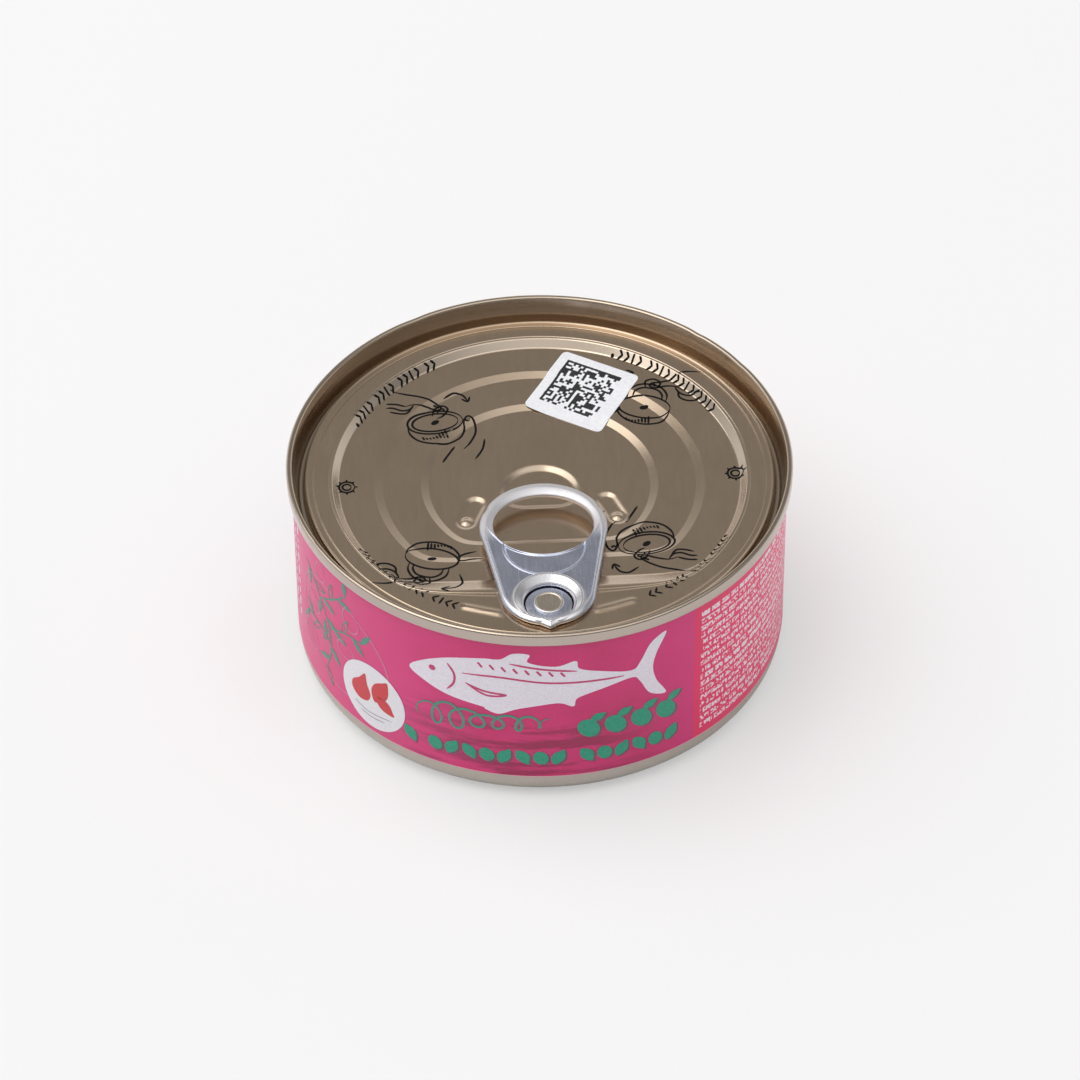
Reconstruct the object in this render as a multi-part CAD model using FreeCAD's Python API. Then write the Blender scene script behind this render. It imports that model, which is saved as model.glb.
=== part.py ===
import FreeCAD, Part
import math
import os

# Round food can with a ring-pull lid: a drawn body with a rounded base corner, a lid seamed on
# round its rim, the riveted pull tab, the wrap label and a small square sticker on the lid.
# Millimetres, +Z up, origin at the centre of the base, the nose of the pull tab towards -Y.

# Whole can
RIM_RADIUS = 43.65
CAN_HEIGHT = 39.7

# Drawn body and its base
BODY_RADIUS = 42.6
BODY_SHEET = 0.2
BASE_CORNER = 4.6
FOOT_WIDTH = 1.5
BASE_RISE = 1.1
BASE_STEP_RADIUS = 27.0
BASE_STEP_RISE = 0.5
STEP_RUN = 1.5
STEP_ROUND = 0.4

# Lid: seam, chuck wall and groove. Depths are below the top of the rim.
SEAM_HEIGHT = 2.5
SEAM_WIDTH = 0.95
SEAM_ROUND = 0.45
GROOVE_DEPTH = 5.2
GROOVE_OUTER = 41.55
GROOVE_INNER = 40.75
GROOVE_ROUND = 0.35
LAND_RADIUS = 40.3
LAND_DEPTH = 3.65
LID_UNDERSIDE = 7.0

# Lid: three terraces, each a circle with a straight front: radius, distance from the middle to
# the straight front, corner radius, run of the slope, its run at the front, depth reached
TERRACES = (
    (36.5, 27.9, 7.0, 1.7, 3.4, 4.95),
    (28.6, 19.7, 4.5, 1.6, 1.5, 5.35),
    (20.5, 15.3, 3.5, 1.4, 1.3, 5.80),
)
FINGER_WELL = (7.2, 3.4, 1.6, 1.1, 1.1, 6.30)
FINGER_WELL_Y = -2.15

# Lid: pressed marks beside the tab and stiffening beads beside the rivet
MARK_START = (11.3, -4.5)
MARK_END = (13.0, -8.7)
MARK_RADIUS = 1.9
MARK_DEPTH = 0.3
BUMP_RADIUS = 1.2
BUMP_HEIGHT = 0.45
BEAD_START = (8.15, -33.9)
BEAD_END = (14.2, -31.9)
BEAD_RADIUS = 0.75
BEAD_HEIGHT = 0.35
BEAD_CHAMFER = 0.2

# Rivet
RIVET_Y = -32.6
SHANK_RADIUS = 1.7
SHANK_FIT = 0.02
HEAD_RADIUS = 2.55
HEAD_HEIGHT = 0.45
HEAD_ROUND = 0.2

# Pull tab: a belt round a ring circle and a nose circle
TAB_LIFT = 0.1
TAB_THICKNESS = 1.35
TAB_ROUND = 0.45
RING_Y = -14.0
RING_RADIUS = 10.95
NOSE_Y = -29.6
NOSE_RADIUS = 8.2
BEAK_LENGTH = 0.9
BEAK_HALF_WIDTH = 1.5
BEAK_THICKNESS = 0.8
HOLE_Y = -13.3
HOLE_HALF_X = 8.75
HOLE_HALF_Y = 7.5
CURL_WIDTH = 0.95
WEB_START_Y = -15.2
WEB_DEPTH = 0.3
COLLAR_Y = -31.6
COLLAR_RADIUS = 6.3
ISLAND_RADIUS = 4.3
ISLAND_THICKNESS = 0.4
ISLAND_FLARE = 0.5
HOLE_CURL = 0.6

# Wrap label
LABEL_SHEET = 0.12
LABEL_BOTTOM = 5.4
LABEL_GAP = 0.15

# Square sticker on the lid
STICKER_WIDTH = 15.0
STICKER_LENGTH = 15.6
STICKER_CENTRE = (8.55, 23.05)
STICKER_TURN = -30.3
STICKER_CORNER = 1.0
STICKER_SHEET = 0.1


def vec(x, y, z=0.0):
    return FreeCAD.Vector(x, y, z)


def depth(below_rim):
    """Height above the ground of a point this far below the rim."""
    return CAN_HEIGHT - below_rim


def rounded_loop(corners):
    """Closed wire in the XY plane through (x, y, rounding) corners."""
    edges = []
    arc_ends = []
    for index, (x, y, rounding) in enumerate(corners):
        here = vec(x, y)
        back = vec(*corners[index - 1][:2]) - here
        ahead = vec(*corners[(index + 1) % len(corners)][:2]) - here
        back.normalize()
        ahead.normalize()
        if rounding:
            half_angle = back.getAngle(ahead) / 2
            reach = rounding / math.tan(half_angle)
            inward = back + ahead
            inward.normalize()
            middle = here + inward * (rounding / math.sin(half_angle) - rounding)
            start = here + back * reach
            end = here + ahead * reach
            edges.append(Part.Arc(start, middle, end).toShape())
        else:
            start = end = here
        arc_ends.append((start, end))
    for index, (start, _) in enumerate(arc_ends):
        previous_end = arc_ends[index - 1][1]
        edges.append(Part.LineSegment(previous_end, start).toShape())
    return Part.Wire(Part.__sortEdges__(edges))


def turned(corners):
    """Solid of revolution about Z of a (radius, height, rounding) outline."""
    wire = rounded_loop(corners)
    wire.rotate(vec(0, 0), vec(1, 0), 90)
    return Part.Face(wire).revolve(vec(0, 0), vec(0, 0, 1), 360)


def flat_fronted(radius, front, corner, centre_y, z):
    """Circle with a straight front and rounded corners, at height z."""
    reach = radius - corner
    corner_y = corner - front
    corner_x = math.sqrt(reach ** 2 - corner_y ** 2)
    bisector = (math.atan2(corner_y, corner_x) - math.pi / 2) / 2
    sides = {}
    for side in (1, -1):
        centre = vec(side * corner_x, centre_y + corner_y, z)
        on_circle = vec(side * corner_x * radius / reach, centre_y + corner_y * radius / reach, z)
        between = vec(side * corner * math.cos(bisector), corner * math.sin(bisector)) + centre
        on_front = vec(side * corner_x, centre_y - front, z)
        sides[side] = (on_circle, between, on_front)
    top = vec(0, centre_y + radius, z)
    return Part.Wire([
        Part.Arc(sides[1][0], top, sides[-1][0]).toShape(),
        Part.Arc(*sides[-1]).toShape(),
        Part.LineSegment(sides[-1][2], sides[1][2]).toShape(),
        Part.Arc(*reversed(sides[1])).toShape(),
    ])


def stepped_pocket(outline, z_top, z_bottom, centre_y=0.0):
    """Pocket with sloping sides between two flat-fronted outlines."""
    radius, front, corner, run, front_run = outline
    upper = flat_fronted(radius, front, corner, centre_y, z_top)
    lower = flat_fronted(radius - run, front - front_run, corner - run / 2, centre_y, z_bottom)
    return Part.makeLoft([upper, lower], True, True)


def slot_block(start, end, radius, z, height):
    """Straight block with round ends, between two centres."""
    along = vec(*end) - vec(*start)
    along.normalize()
    side = vec(-along.y, along.x) * radius
    first = vec(start[0], start[1], z)
    last = vec(end[0], end[1], z)
    wire = Part.Wire([
        Part.LineSegment(first + side, last + side).toShape(),
        Part.Arc(last + side, last + along * radius, last - side).toShape(),
        Part.LineSegment(last - side, first - side).toShape(),
        Part.Arc(first - side, first - along * radius, first + side).toShape(),
    ])
    return Part.Face(wire).extrude(vec(0, 0, height))


def mirrored_pair(shape):
    return [shape, shape.mirror(vec(0, 0), vec(1, 0))]


def top_edges(shape):
    """Edges that lie in the highest flat face of a shape."""
    top = shape.BoundBox.ZMax
    return [
        edge for edge in shape.Edges
        if edge.BoundBox.ZMin > top - 1e-4 and edge.BoundBox.ZMax < top + 1e-4
    ]


def can_body():
    """Drawn body, filled to the underside of the lid, on a ring foot with a raised base panel."""
    foot_outer = BODY_RADIUS - BASE_CORNER
    foot_inner = foot_outer - FOOT_WIDTH
    upper_panel = BASE_RISE + BASE_STEP_RISE
    lid_floor = depth(LID_UNDERSIDE)
    return turned([
        (0, upper_panel, 0),
        (BASE_STEP_RADIUS - STEP_RUN, upper_panel, STEP_ROUND),
        (BASE_STEP_RADIUS, BASE_RISE, STEP_ROUND),
        (foot_inner - STEP_RUN, BASE_RISE, STEP_ROUND),
        (foot_inner, 0, STEP_ROUND),
        (BODY_RADIUS, 0, BASE_CORNER),
        (BODY_RADIUS, depth(SEAM_HEIGHT), 0),
        (BODY_RADIUS - BODY_SHEET, depth(SEAM_HEIGHT), 0),
        (BODY_RADIUS - BODY_SHEET, lid_floor, 0),
        (0, lid_floor, 0),
    ])


def lid_blank():
    """Lid before its panel is pressed: seam, chuck wall, groove and flat land."""
    seam_inner = RIM_RADIUS - SEAM_WIDTH
    return turned([
        (0, depth(LID_UNDERSIDE), 0),
        (BODY_RADIUS - BODY_SHEET, depth(LID_UNDERSIDE), 0),
        (BODY_RADIUS - BODY_SHEET, depth(SEAM_HEIGHT), 0),
        (RIM_RADIUS, depth(SEAM_HEIGHT), SEAM_ROUND),
        (RIM_RADIUS, CAN_HEIGHT, SEAM_ROUND),
        (seam_inner, CAN_HEIGHT, SEAM_ROUND),
        (GROOVE_OUTER, depth(GROOVE_DEPTH), GROOVE_ROUND),
        (GROOVE_INNER, depth(GROOVE_DEPTH), GROOVE_ROUND),
        (LAND_RADIUS, depth(LAND_DEPTH), GROOVE_ROUND),
        (0, depth(LAND_DEPTH), 0),
    ])


def rivet():
    """Rivet drawn up from the lid: a shank through the tab and a flat head over it."""
    foot = depth(LAND_DEPTH)
    head = foot + TAB_LIFT + ISLAND_THICKNESS
    post = turned([
        (0, foot - HEAD_HEIGHT, 0),
        (SHANK_RADIUS, foot - HEAD_HEIGHT, 0),
        (SHANK_RADIUS, head, 0),
        (HEAD_RADIUS, head, 0),
        (HEAD_RADIUS, head + HEAD_HEIGHT, HEAD_ROUND),
        (0, head + HEAD_HEIGHT, 0),
    ])
    post.translate(vec(0, RIVET_Y))
    return post


def pressed_lid():
    """Lid with terraces, finger well, pressed marks and beads, but no rivet."""
    lid = lid_blank()
    level = LAND_DEPTH
    for *outline, reached in TERRACES:
        lid = lid.cut(stepped_pocket(outline, depth(level), depth(reached)))
        level = reached
    *outline, reached = FINGER_WELL
    lid = lid.cut(stepped_pocket(outline, depth(level), depth(reached), FINGER_WELL_Y))
    mark = slot_block(MARK_START, MARK_END, MARK_RADIUS, depth(level) - MARK_DEPTH, MARK_DEPTH)
    lid = lid.cut(mirrored_pair(mark))
    mark_floor = depth(level) - MARK_DEPTH
    bump = Part.makeCone(
        BUMP_RADIUS, BUMP_RADIUS / 2, BUMP_HEIGHT, vec(MARK_END[0], MARK_END[1], mark_floor)
    )
    bead = slot_block(BEAD_START, BEAD_END, BEAD_RADIUS, depth(LAND_DEPTH), BEAD_HEIGHT)
    bead = bead.makeChamfer(BEAD_CHAMFER, top_edges(bead))
    return lid.fuse(mirrored_pair(bump) + mirrored_pair(bead))


def lid_end():
    """Lid with the rivet that is drawn up out of its own sheet."""
    return pressed_lid().fuse(rivet()).removeSplitter()


def belt(inset, z, height):
    """Block shaped as a belt round the ring circle and the nose circle, drawn in by inset."""
    taper = math.asin((RING_RADIUS - NOSE_RADIUS) / (RING_Y - NOSE_Y))
    ring = RING_RADIUS - inset
    nose = NOSE_RADIUS - inset
    ring_side = vec(ring * math.cos(taper), RING_Y - ring * math.sin(taper), z)
    nose_side = vec(nose * math.cos(taper), NOSE_Y - nose * math.sin(taper), z)
    ring_other = vec(-ring_side.x, ring_side.y, z)
    nose_other = vec(-nose_side.x, nose_side.y, z)
    wire = Part.Wire([
        Part.Arc(ring_side, vec(0, RING_Y + ring, z), ring_other).toShape(),
        Part.LineSegment(ring_other, nose_other).toShape(),
        Part.Arc(nose_other, vec(0, NOSE_Y - nose, z), nose_side).toShape(),
        Part.LineSegment(nose_side, ring_side).toShape(),
    ])
    return Part.Face(wire).extrude(vec(0, 0, height))


def finger_hole(widen, z, height):
    """Oval block of the finger hole, widened all round."""
    oval = Part.Ellipse(vec(0, HOLE_Y, z), HOLE_HALF_X + widen, HOLE_HALF_Y + widen)
    return Part.Face(Part.Wire(oval.toShape())).extrude(vec(0, 0, height))


def pull_tab():
    """Tab of one stamped and curled sheet: ring, web, collar, island round the rivet, nose."""
    bottom = depth(LAND_DEPTH) + TAB_LIFT
    top = bottom + TAB_THICKNESS
    island_top = bottom + ISLAND_THICKNESS
    nose_tip = NOSE_Y - NOSE_RADIUS
    beak = Part.Face(Part.makePolygon([
        vec(-BEAK_HALF_WIDTH, nose_tip + BEAK_HALF_WIDTH, bottom),
        vec(BEAK_HALF_WIDTH, nose_tip + BEAK_HALF_WIDTH, bottom),
        vec(0, nose_tip - BEAK_LENGTH, bottom),
        vec(-BEAK_HALF_WIDTH, nose_tip + BEAK_HALF_WIDTH, bottom),
    ])).extrude(vec(0, 0, BEAK_THICKNESS))
    plate = belt(0, bottom, TAB_THICKNESS).cut(finger_hole(0, bottom, TAB_THICKNESS))
    plate = plate.makeFillet(TAB_ROUND, top_edges(plate))
    web_length = WEB_START_Y - nose_tip
    web = belt(CURL_WIDTH, top - WEB_DEPTH, WEB_DEPTH)
    web = web.common(Part.makeBox(
        RING_RADIUS * 2, web_length, WEB_DEPTH,
        vec(-RING_RADIUS, nose_tip, top - WEB_DEPTH),
    ))
    web = web.cut([
        finger_hole(HOLE_CURL, top - WEB_DEPTH, WEB_DEPTH),
        Part.makeCylinder(COLLAR_RADIUS, WEB_DEPTH, vec(0, COLLAR_Y, top - WEB_DEPTH)),
    ])
    dish = Part.makeCone(
        ISLAND_RADIUS, ISLAND_RADIUS + ISLAND_FLARE, top - island_top, vec(0, COLLAR_Y, island_top)
    )
    rivet_hole = Part.makeCylinder(
        SHANK_RADIUS + SHANK_FIT, TAB_THICKNESS, vec(0, RIVET_Y, bottom)
    )
    return plate.fuse(beak).cut([web, dish, rivet_hole]).removeSplitter()


def label():
    """Paper wrap round the straight wall of the body."""
    height = depth(SEAM_HEIGHT) - LABEL_GAP - LABEL_BOTTOM
    outer = Part.makeCylinder(BODY_RADIUS + LABEL_SHEET, height, vec(0, 0, LABEL_BOTTOM))
    inner = Part.makeCylinder(BODY_RADIUS, height, vec(0, 0, LABEL_BOTTOM))
    return outer.cut(inner)


def code_sticker():
    """Square paper sticker that follows the terraces of the lid under it."""
    half_width = STICKER_WIDTH / 2
    half_length = STICKER_LENGTH / 2
    wire = rounded_loop([
        (-half_width, -half_length, STICKER_CORNER),
        (half_width, -half_length, STICKER_CORNER),
        (half_width, half_length, STICKER_CORNER),
        (-half_width, half_length, STICKER_CORNER),
    ])
    wire.rotate(vec(0, 0), vec(0, 0, 1), STICKER_TURN)
    wire.translate(vec(STICKER_CENTRE[0], STICKER_CENTRE[1], depth(LID_UNDERSIDE)))
    column = Part.Face(wire).extrude(vec(0, 0, LID_UNDERSIDE))
    lid = pressed_lid()
    raised = lid.copy()
    raised.translate(vec(0, 0, STICKER_SHEET))
    return column.common(raised).cut(lid)


NODES = {
    "can_body": can_body,
    "lid_end": lid_end,
    "pull_tab": pull_tab,
    "label": label,
    "code_sticker": code_sticker,
}

os.makedirs("parts", exist_ok=True)
for name, make in NODES.items():
    solid = make().Solids[0]
    solid.exportStep("parts/" + name + ".step")
    print(name, "valid:", solid.isValid(), "volume in mm3:", round(solid.Volume, 1))
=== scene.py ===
import bmesh
import bpy
import math
import random
import numpy as np
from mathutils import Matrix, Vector
from mathutils.bvhtree import BVHTree


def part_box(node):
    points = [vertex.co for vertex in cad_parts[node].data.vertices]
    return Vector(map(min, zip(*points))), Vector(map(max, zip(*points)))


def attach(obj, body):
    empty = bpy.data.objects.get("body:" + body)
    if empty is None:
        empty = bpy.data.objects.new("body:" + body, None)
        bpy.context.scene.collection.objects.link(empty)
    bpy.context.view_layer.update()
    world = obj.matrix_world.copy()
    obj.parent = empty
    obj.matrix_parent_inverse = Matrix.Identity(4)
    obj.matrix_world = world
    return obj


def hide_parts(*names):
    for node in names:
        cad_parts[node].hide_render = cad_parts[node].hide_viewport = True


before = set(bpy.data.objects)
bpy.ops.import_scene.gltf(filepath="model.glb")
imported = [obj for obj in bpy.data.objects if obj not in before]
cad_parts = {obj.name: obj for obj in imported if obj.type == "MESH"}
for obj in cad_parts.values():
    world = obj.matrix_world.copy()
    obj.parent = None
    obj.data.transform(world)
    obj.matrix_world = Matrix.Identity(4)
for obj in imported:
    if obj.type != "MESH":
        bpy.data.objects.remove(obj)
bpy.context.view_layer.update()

# ------------------------------------------------------------------ drawn body
# The body is one deep-drawn steel cup with a round base corner, a ring foot and a raised base
# panel. It is lacquered grey-gold, and its upper edge is rolled into the seam of the lid.
MM = 0.001
body_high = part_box("can_body")[1] / MM
lid_low, lid_high = (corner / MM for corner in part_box("lid_end"))
BODY_RADIUS = body_high.x
BODY_SHEET = 0.2
SEAM_FLOOR = body_high.z
BASE_CORNER = 4.6
FOOT_OUTER = BODY_RADIUS - BASE_CORNER
FOOT_INNER = FOOT_OUTER - 1.5
BASE_PANEL = 1.1
BASE_MIDDLE = 1.6


def rounded(corners, steps=5):
    """Points of an open (radius, height, rounding) outline, each corner rounded by an arc."""
    points = []
    for index, (radius, height, rounding) in enumerate(corners):
        here = Vector((radius, height))
        if not rounding:
            points.append(here)
            continue
        back = (Vector(corners[index - 1][:2]) - here).normalized()
        ahead = (Vector(corners[index + 1][:2]) - here).normalized()
        half = back.angle(ahead) / 2
        centre = here + (back + ahead).normalized() * rounding / math.sin(half)
        first = here + back * rounding / math.tan(half) - centre
        last = here + ahead * rounding / math.tan(half) - centre
        swing = math.pi - 2 * half
        for step in range(steps + 1):
            share = step / steps
            points.append(centre + (
                first * math.sin((1 - share) * swing) + last * math.sin(share * swing)
            ) / math.sin(swing))
    return points


def new_piece(name, vertices, edges, faces):
    """Piece from its points, edges and faces, selected alone."""
    mesh = bpy.data.meshes.new(name)
    mesh.from_pydata(vertices, edges, faces)
    piece = bpy.data.objects.new(name, mesh)
    bpy.context.collection.objects.link(piece)
    bpy.ops.object.select_all(action="DESELECT")
    bpy.context.view_layer.objects.active = piece
    piece.select_set(True)
    return piece


def spun(name, points, turns, centre=(0, 0)):
    """Closed turned piece: (radius, height) points in mm spun once round an upright axis."""
    x, y = centre
    vertices = [((x + radius) * MM, y * MM, height * MM) for radius, height in points]
    piece = new_piece(name, vertices, [(index, index + 1) for index in range(len(points) - 1)], [])
    bpy.ops.object.mode_set(mode="EDIT")
    bpy.ops.mesh.select_all(action="SELECT")
    bpy.ops.mesh.spin(
        steps=turns, angle=2 * math.pi, center=(x * MM, y * MM, 0), axis=(0, 0, 1)
    )
    bpy.ops.mesh.select_all(action="SELECT")
    bpy.ops.mesh.remove_doubles(threshold=0.002 * MM)
    bpy.ops.mesh.normals_make_consistent(inside=False)
    bpy.ops.object.mode_set(mode="OBJECT")
    bpy.ops.object.shade_smooth()
    return piece


def node_group(name, inputs, outputs):
    """Empty shader node group with float inputs and the named outputs."""
    group = bpy.data.node_groups.new(name, "ShaderNodeTree")
    for label, value in inputs.items():
        group.interface.new_socket(
            label, in_out="INPUT", socket_type="NodeSocketFloat"
        ).default_value = value
    for label, kind in outputs.items():
        group.interface.new_socket(label, in_out="OUTPUT", socket_type="NodeSocket" + kind)
    return group, group.nodes.new("NodeGroupInput"), group.nodes.new("NodeGroupOutput")


def node(tree, kind, links=(), **values):
    """Shader node with its settings and input values given by name, and its inputs linked."""
    made = tree.nodes.new("ShaderNode" + kind)
    for key, value in values.items():
        setattr(made, key, value)
    for socket, source in dict(links).items():
        if hasattr(source, "is_output"):
            tree.links.new(source, made.inputs[socket])
        else:
            made.inputs[socket].default_value = source
    return made


def maths(tree, operation, *terms):
    """Result of one maths node on sockets and numbers."""
    return node(tree, "Math", dict(enumerate(terms)), operation=operation).outputs[0]


def times(tree, *terms):
    """Product of sockets and numbers."""
    product = terms[0]
    for term in terms[1:]:
        product = maths(tree, "MULTIPLY", product, term)
    return product


def ramped(tree, value, start, end, first=0.0, last=1.0):
    """Value that runs from first to last between start and end, and is level beyond them."""
    return node(tree, "MapRange", {0: value, 1: start, 2: end, 3: first, 4: last}).outputs[0]


def noise(tree, place, scale, detail, roughness=0.5):
    """Soft random value at each place."""
    return node(tree, "TexNoise", {
        "Vector": place, "Scale": scale, "Detail": detail, "Roughness": roughness,
    }).outputs[0]


def on_piece(tree):
    """Place of a point on its piece, in metres."""
    return node(tree, "TexCoord").outputs["Object"]


def blend_colour(tree, share, first, second):
    """Colour mixed from two colours or colour sockets by a share."""
    return node(tree, "Mix", {0: share, 6: first, 7: second}, data_type="RGBA").outputs[2]


def feed(tree, reader, socket, source):
    """Link of a colour, mask or normal to one named input of the node that reads it."""
    tree.links.new(source, reader.inputs[socket])


def material(name):
    """New material with its node tree and its Principled shader."""
    made = bpy.data.materials.new(name)
    made.use_nodes = True
    return made, made.node_tree, made.node_tree.nodes["Principled BSDF"]


def linear(red, green, blue):
    """Colour with alpha from 0 to 255 screen values."""
    return tuple(
        (value / 255 / 12.92 if value <= 10 else ((value / 255 + 0.055) / 1.055) ** 2.4)
        for value in (red, green, blue)
    ) + (1,)


# Rolled sheet: fine grain along the rolling direction, faint mottling and straight hairlines.
sheet_group, sheet_in, sheet_out = node_group(
    "rolled_sheet",
    {"Grain Scale": 900.0, "Grain Stretch": 0.08, "Mottle Scale": 160.0, "Scratches": 0.5},
    {"Tone": "Float", "Roughness": "Float", "Height": "Float"},
)
tree = sheet_group
place = on_piece(tree)
stretch = node(tree, "CombineXYZ", {
    0: 1.0, 1: sheet_in.outputs["Grain Stretch"], 2: 1.0,
}).outputs[0]
grain_place = node(tree, "VectorMath", {0: place, 1: stretch}, operation="MULTIPLY").outputs[0]
grain = noise(tree, grain_place, sheet_in.outputs["Grain Scale"], 3.0, 0.6)
mottle = noise(tree, place, sheet_in.outputs["Mottle Scale"], 3.0)
speckle = noise(tree, place, 5200.0, 1.0)
scratch = 0.0
for turn, shift in ((0.5, 3.1), (2.1, 7.7)):
    hair_place = node(tree, "Mapping", {
        "Vector": place, "Location": (shift, shift, 0), "Rotation": (0, 0, turn),
        "Scale": (1, 0.02, 1),
    }).outputs[0]
    hair = noise(tree, hair_place, 2400.0, 0.0)
    hair = ramped(tree, hair, 0.76, 0.82)
    scratch = maths(tree, "MAXIMUM", scratch, hair)
rare = noise(tree, place, 90.0, 1.0)
rare = ramped(tree, rare, 0.5, 0.6)
scratch = times(tree, scratch, rare, sheet_in.outputs["Scratches"])
tone = maths(tree, "ADD", times(tree, grain, 0.4), times(tree, mottle, 0.4))
tone = maths(tree, "ADD", tone, times(tree, speckle, 0.2))
for label in ("Tone", "Roughness"):
    feed(tree, sheet_out, label, maths(tree, "ADD", tone, scratch))
height = maths(tree, "ADD", times(tree, grain, 0.6), times(tree, speckle, 0.4))
feed(tree, sheet_out, "Height", maths(tree, "SUBTRACT", height, scratch))


def sheet_metal(name, dark, light, rough_low, rough_high, bump, coat, **group_values):
    """Metal sheet with the tone, roughness and relief of the rolled sheet group."""
    made, tree, shader = material(name)
    sheet = node(tree, "Group", node_tree=sheet_group)
    for label, value in group_values.items():
        sheet.inputs[label.replace("_", " ").title()].default_value = value
    colour = blend_colour(tree, sheet.outputs["Tone"], dark, light)
    feed(tree, shader, "Base Color", colour)
    rough = ramped(tree, sheet.outputs["Roughness"], 0.25, 0.75, rough_low, rough_high)
    feed(tree, shader, "Roughness", rough)
    relief = node(tree, "Bump", {
        "Strength": bump, "Distance": 0.02 * MM, "Height": sheet.outputs["Height"],
    }).outputs[0]
    feed(tree, shader, "Normal", relief)
    shader.inputs["Metallic"].default_value = 1.0
    shader.inputs["Coat Weight"].default_value = coat
    shader.inputs["Coat Roughness"].default_value = 0.12
    return made, tree, shader, sheet, colour


body_points = rounded([
    (0, BASE_MIDDLE, 0),
    (25.5, BASE_MIDDLE, 0.5),
    (27.0, BASE_PANEL, 0.5),
    (FOOT_INNER - 1.5, BASE_PANEL, 0.45),
    (FOOT_INNER, 0, 0.45),
    (BODY_RADIUS, 0, BASE_CORNER),
    (BODY_RADIUS, 5.2, 0),
    (BODY_RADIUS, SEAM_FLOOR, 0),
    (BODY_RADIUS - BODY_SHEET, SEAM_FLOOR, 0),
    (BODY_RADIUS - BODY_SHEET, lid_low.z, 0),
    (0, lid_low.z, 0),
], steps=10)
body = spun("drawn_body", body_points, 256)
body_metal, *_ = sheet_metal(
    "body_metal", linear(168, 160, 150), linear(196, 189, 180), 0.28, 0.42, 0.25, 0.35,
    grain_scale=700.0, mottle_scale=140.0, scratches=0.6,
)
body.data.materials.append(body_metal)
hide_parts("can_body")
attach(body, "root")

# ------------------------------------------------------------------ lid
# The lid is pressed from olive-gold lacquered steel sheet and folded with the body into the
# double seam. Dies press the groove, three terraces with straight fronts, the finger well, the
# two marks beside the ring and the stiffening beads, and a tool scores the tear line.
RIM_TOP = lid_high.z
RIM_RADIUS = lid_high.x
LID_TURNS = 480
LAND = 3.65
# Each terrace: radius and straight front of its upper edge, the same of its lower edge, and depth.
TERRACES = (
    (35.85, 27.9, 34.65, 24.5, 4.95),
    (28.6, 19.7, 27.0, 18.2, 5.35),
    (20.5, 15.3, 19.1, 14.0, 5.80),
)
LAND_EDGE = 38.7
SCORE_RADIUS = 39.05
SHOULDER = 36.25
CORNER_SHARPNESS = 20
WELL_PLACE, WELL_RADIUS, WELL_FRONT, WELL_CORNER, WELL_DEPTH = (0.0, -2.15), 7.2, 4.0, 3.2, 0.45
MARK_TOP, MARK_FOOT, MARK_HALF, MARK_DEPTH = (11.3, -4.5), (13.0, -8.7), 2.1, 0.32
BUMP_RADIUS, BUMP_HEIGHT = 1.6, 0.42
BEAD_START, BEAD_END, BEAD_HALF, BEAD_HEIGHT = (8.15, -33.9), (14.2, -31.9), 1.0, 0.2
SHEEN_SLOPE_TILT = 0.12
# Small knocks of the rim: bearing and spread in degrees, and depth.
RIM_KNOCKS = (
    (47, 1.6, 0.08), (33, 2.4, 0.06), (118, 2.6, 0.07), (205, 1.8, 0.06), (292, 2.4, 0.05),
)


def below(depth):
    """Height of a point this far below the top of the rim."""
    return RIM_TOP - depth


def ring_run(start, end, height, spacing):
    """Evenly spaced (radius, height) points between two radii on a flat land."""
    count = max(2, round(abs(start - end) / spacing))
    return [Vector((start + (end - start) * step / count, height)) for step in range(1, count)]


def press(value, width):
    """Smooth step from 0 at the edge of a die to 1 a width inside it."""
    share = np.clip(value / width, 0, 1)
    return share * share * (3 - 2 * share)


def along_bar(x, y, start, end):
    """Distance from a straight bar between two points."""
    (ax, ay), (bx, by) = start, end
    share = ((x - ax) * (bx - ax) + (y - ay) * (by - ay)) / ((bx - ax) ** 2 + (by - ay) ** 2)
    share = np.clip(share, 0, 1)
    return np.hypot(x - ax - share * (bx - ax), y - ay - share * (by - ay))


def press_fronts(x, y):
    """Points of round lands moved in so that every terrace gets its straight front."""
    radius = np.hypot(x, y)
    forward = np.maximum(-y / np.maximum(radius, 1e-9), 1e-6)
    rings = [(0.0, np.zeros_like(radius))]
    for upper, upper_front, lower, lower_front, _ in reversed(TERRACES):
        for ring, front in ((lower, lower_front), (upper, upper_front)):
            squared = (ring ** -CORNER_SHARPNESS + (front / forward) ** -CORNER_SHARPNESS)
            rings.append((ring, squared ** (-1 / CORNER_SHARPNESS)))
    rings.append((LAND_EDGE, np.full_like(radius, LAND_EDGE)))
    moved = radius.copy()
    for (inner, inner_to), (outer, outer_to) in zip(rings, rings[1:]):
        inside = (radius > inner) & (radius <= outer)
        share = (radius - inner) / (outer - inner)
        moved = np.where(inside, inner_to + share * (outer_to - inner_to), moved)
    scale = moved / np.maximum(radius, 1e-9)
    return x * scale, y * scale


def press_marks(x, y):
    """Height that the smaller dies add to the panel at each point."""
    well_x, well_y = WELL_PLACE
    round_in, front_in = WELL_RADIUS - np.hypot(x - well_x, y - well_y), y - (well_y - WELL_FRONT)
    corner = np.hypot(np.maximum(WELL_CORNER - round_in, 0), np.maximum(WELL_CORNER - front_in, 0))
    height = -WELL_DEPTH * press(WELL_CORNER - corner, 1.35)
    for side in (1, -1):
        mark = along_bar(side * x, y, MARK_TOP, MARK_FOOT)
        height = height - MARK_DEPTH * press(MARK_HALF - mark, 1.1)
        bump = np.hypot(side * x - MARK_FOOT[0], y - MARK_FOOT[1])
        height = height + BUMP_HEIGHT * (1 - press(bump, BUMP_RADIUS))
        bead = along_bar(side * x, y, BEAD_START, BEAD_END)
        height = height + BEAD_HEIGHT * (1 - press(bead, BEAD_HALF))
    return height


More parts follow.
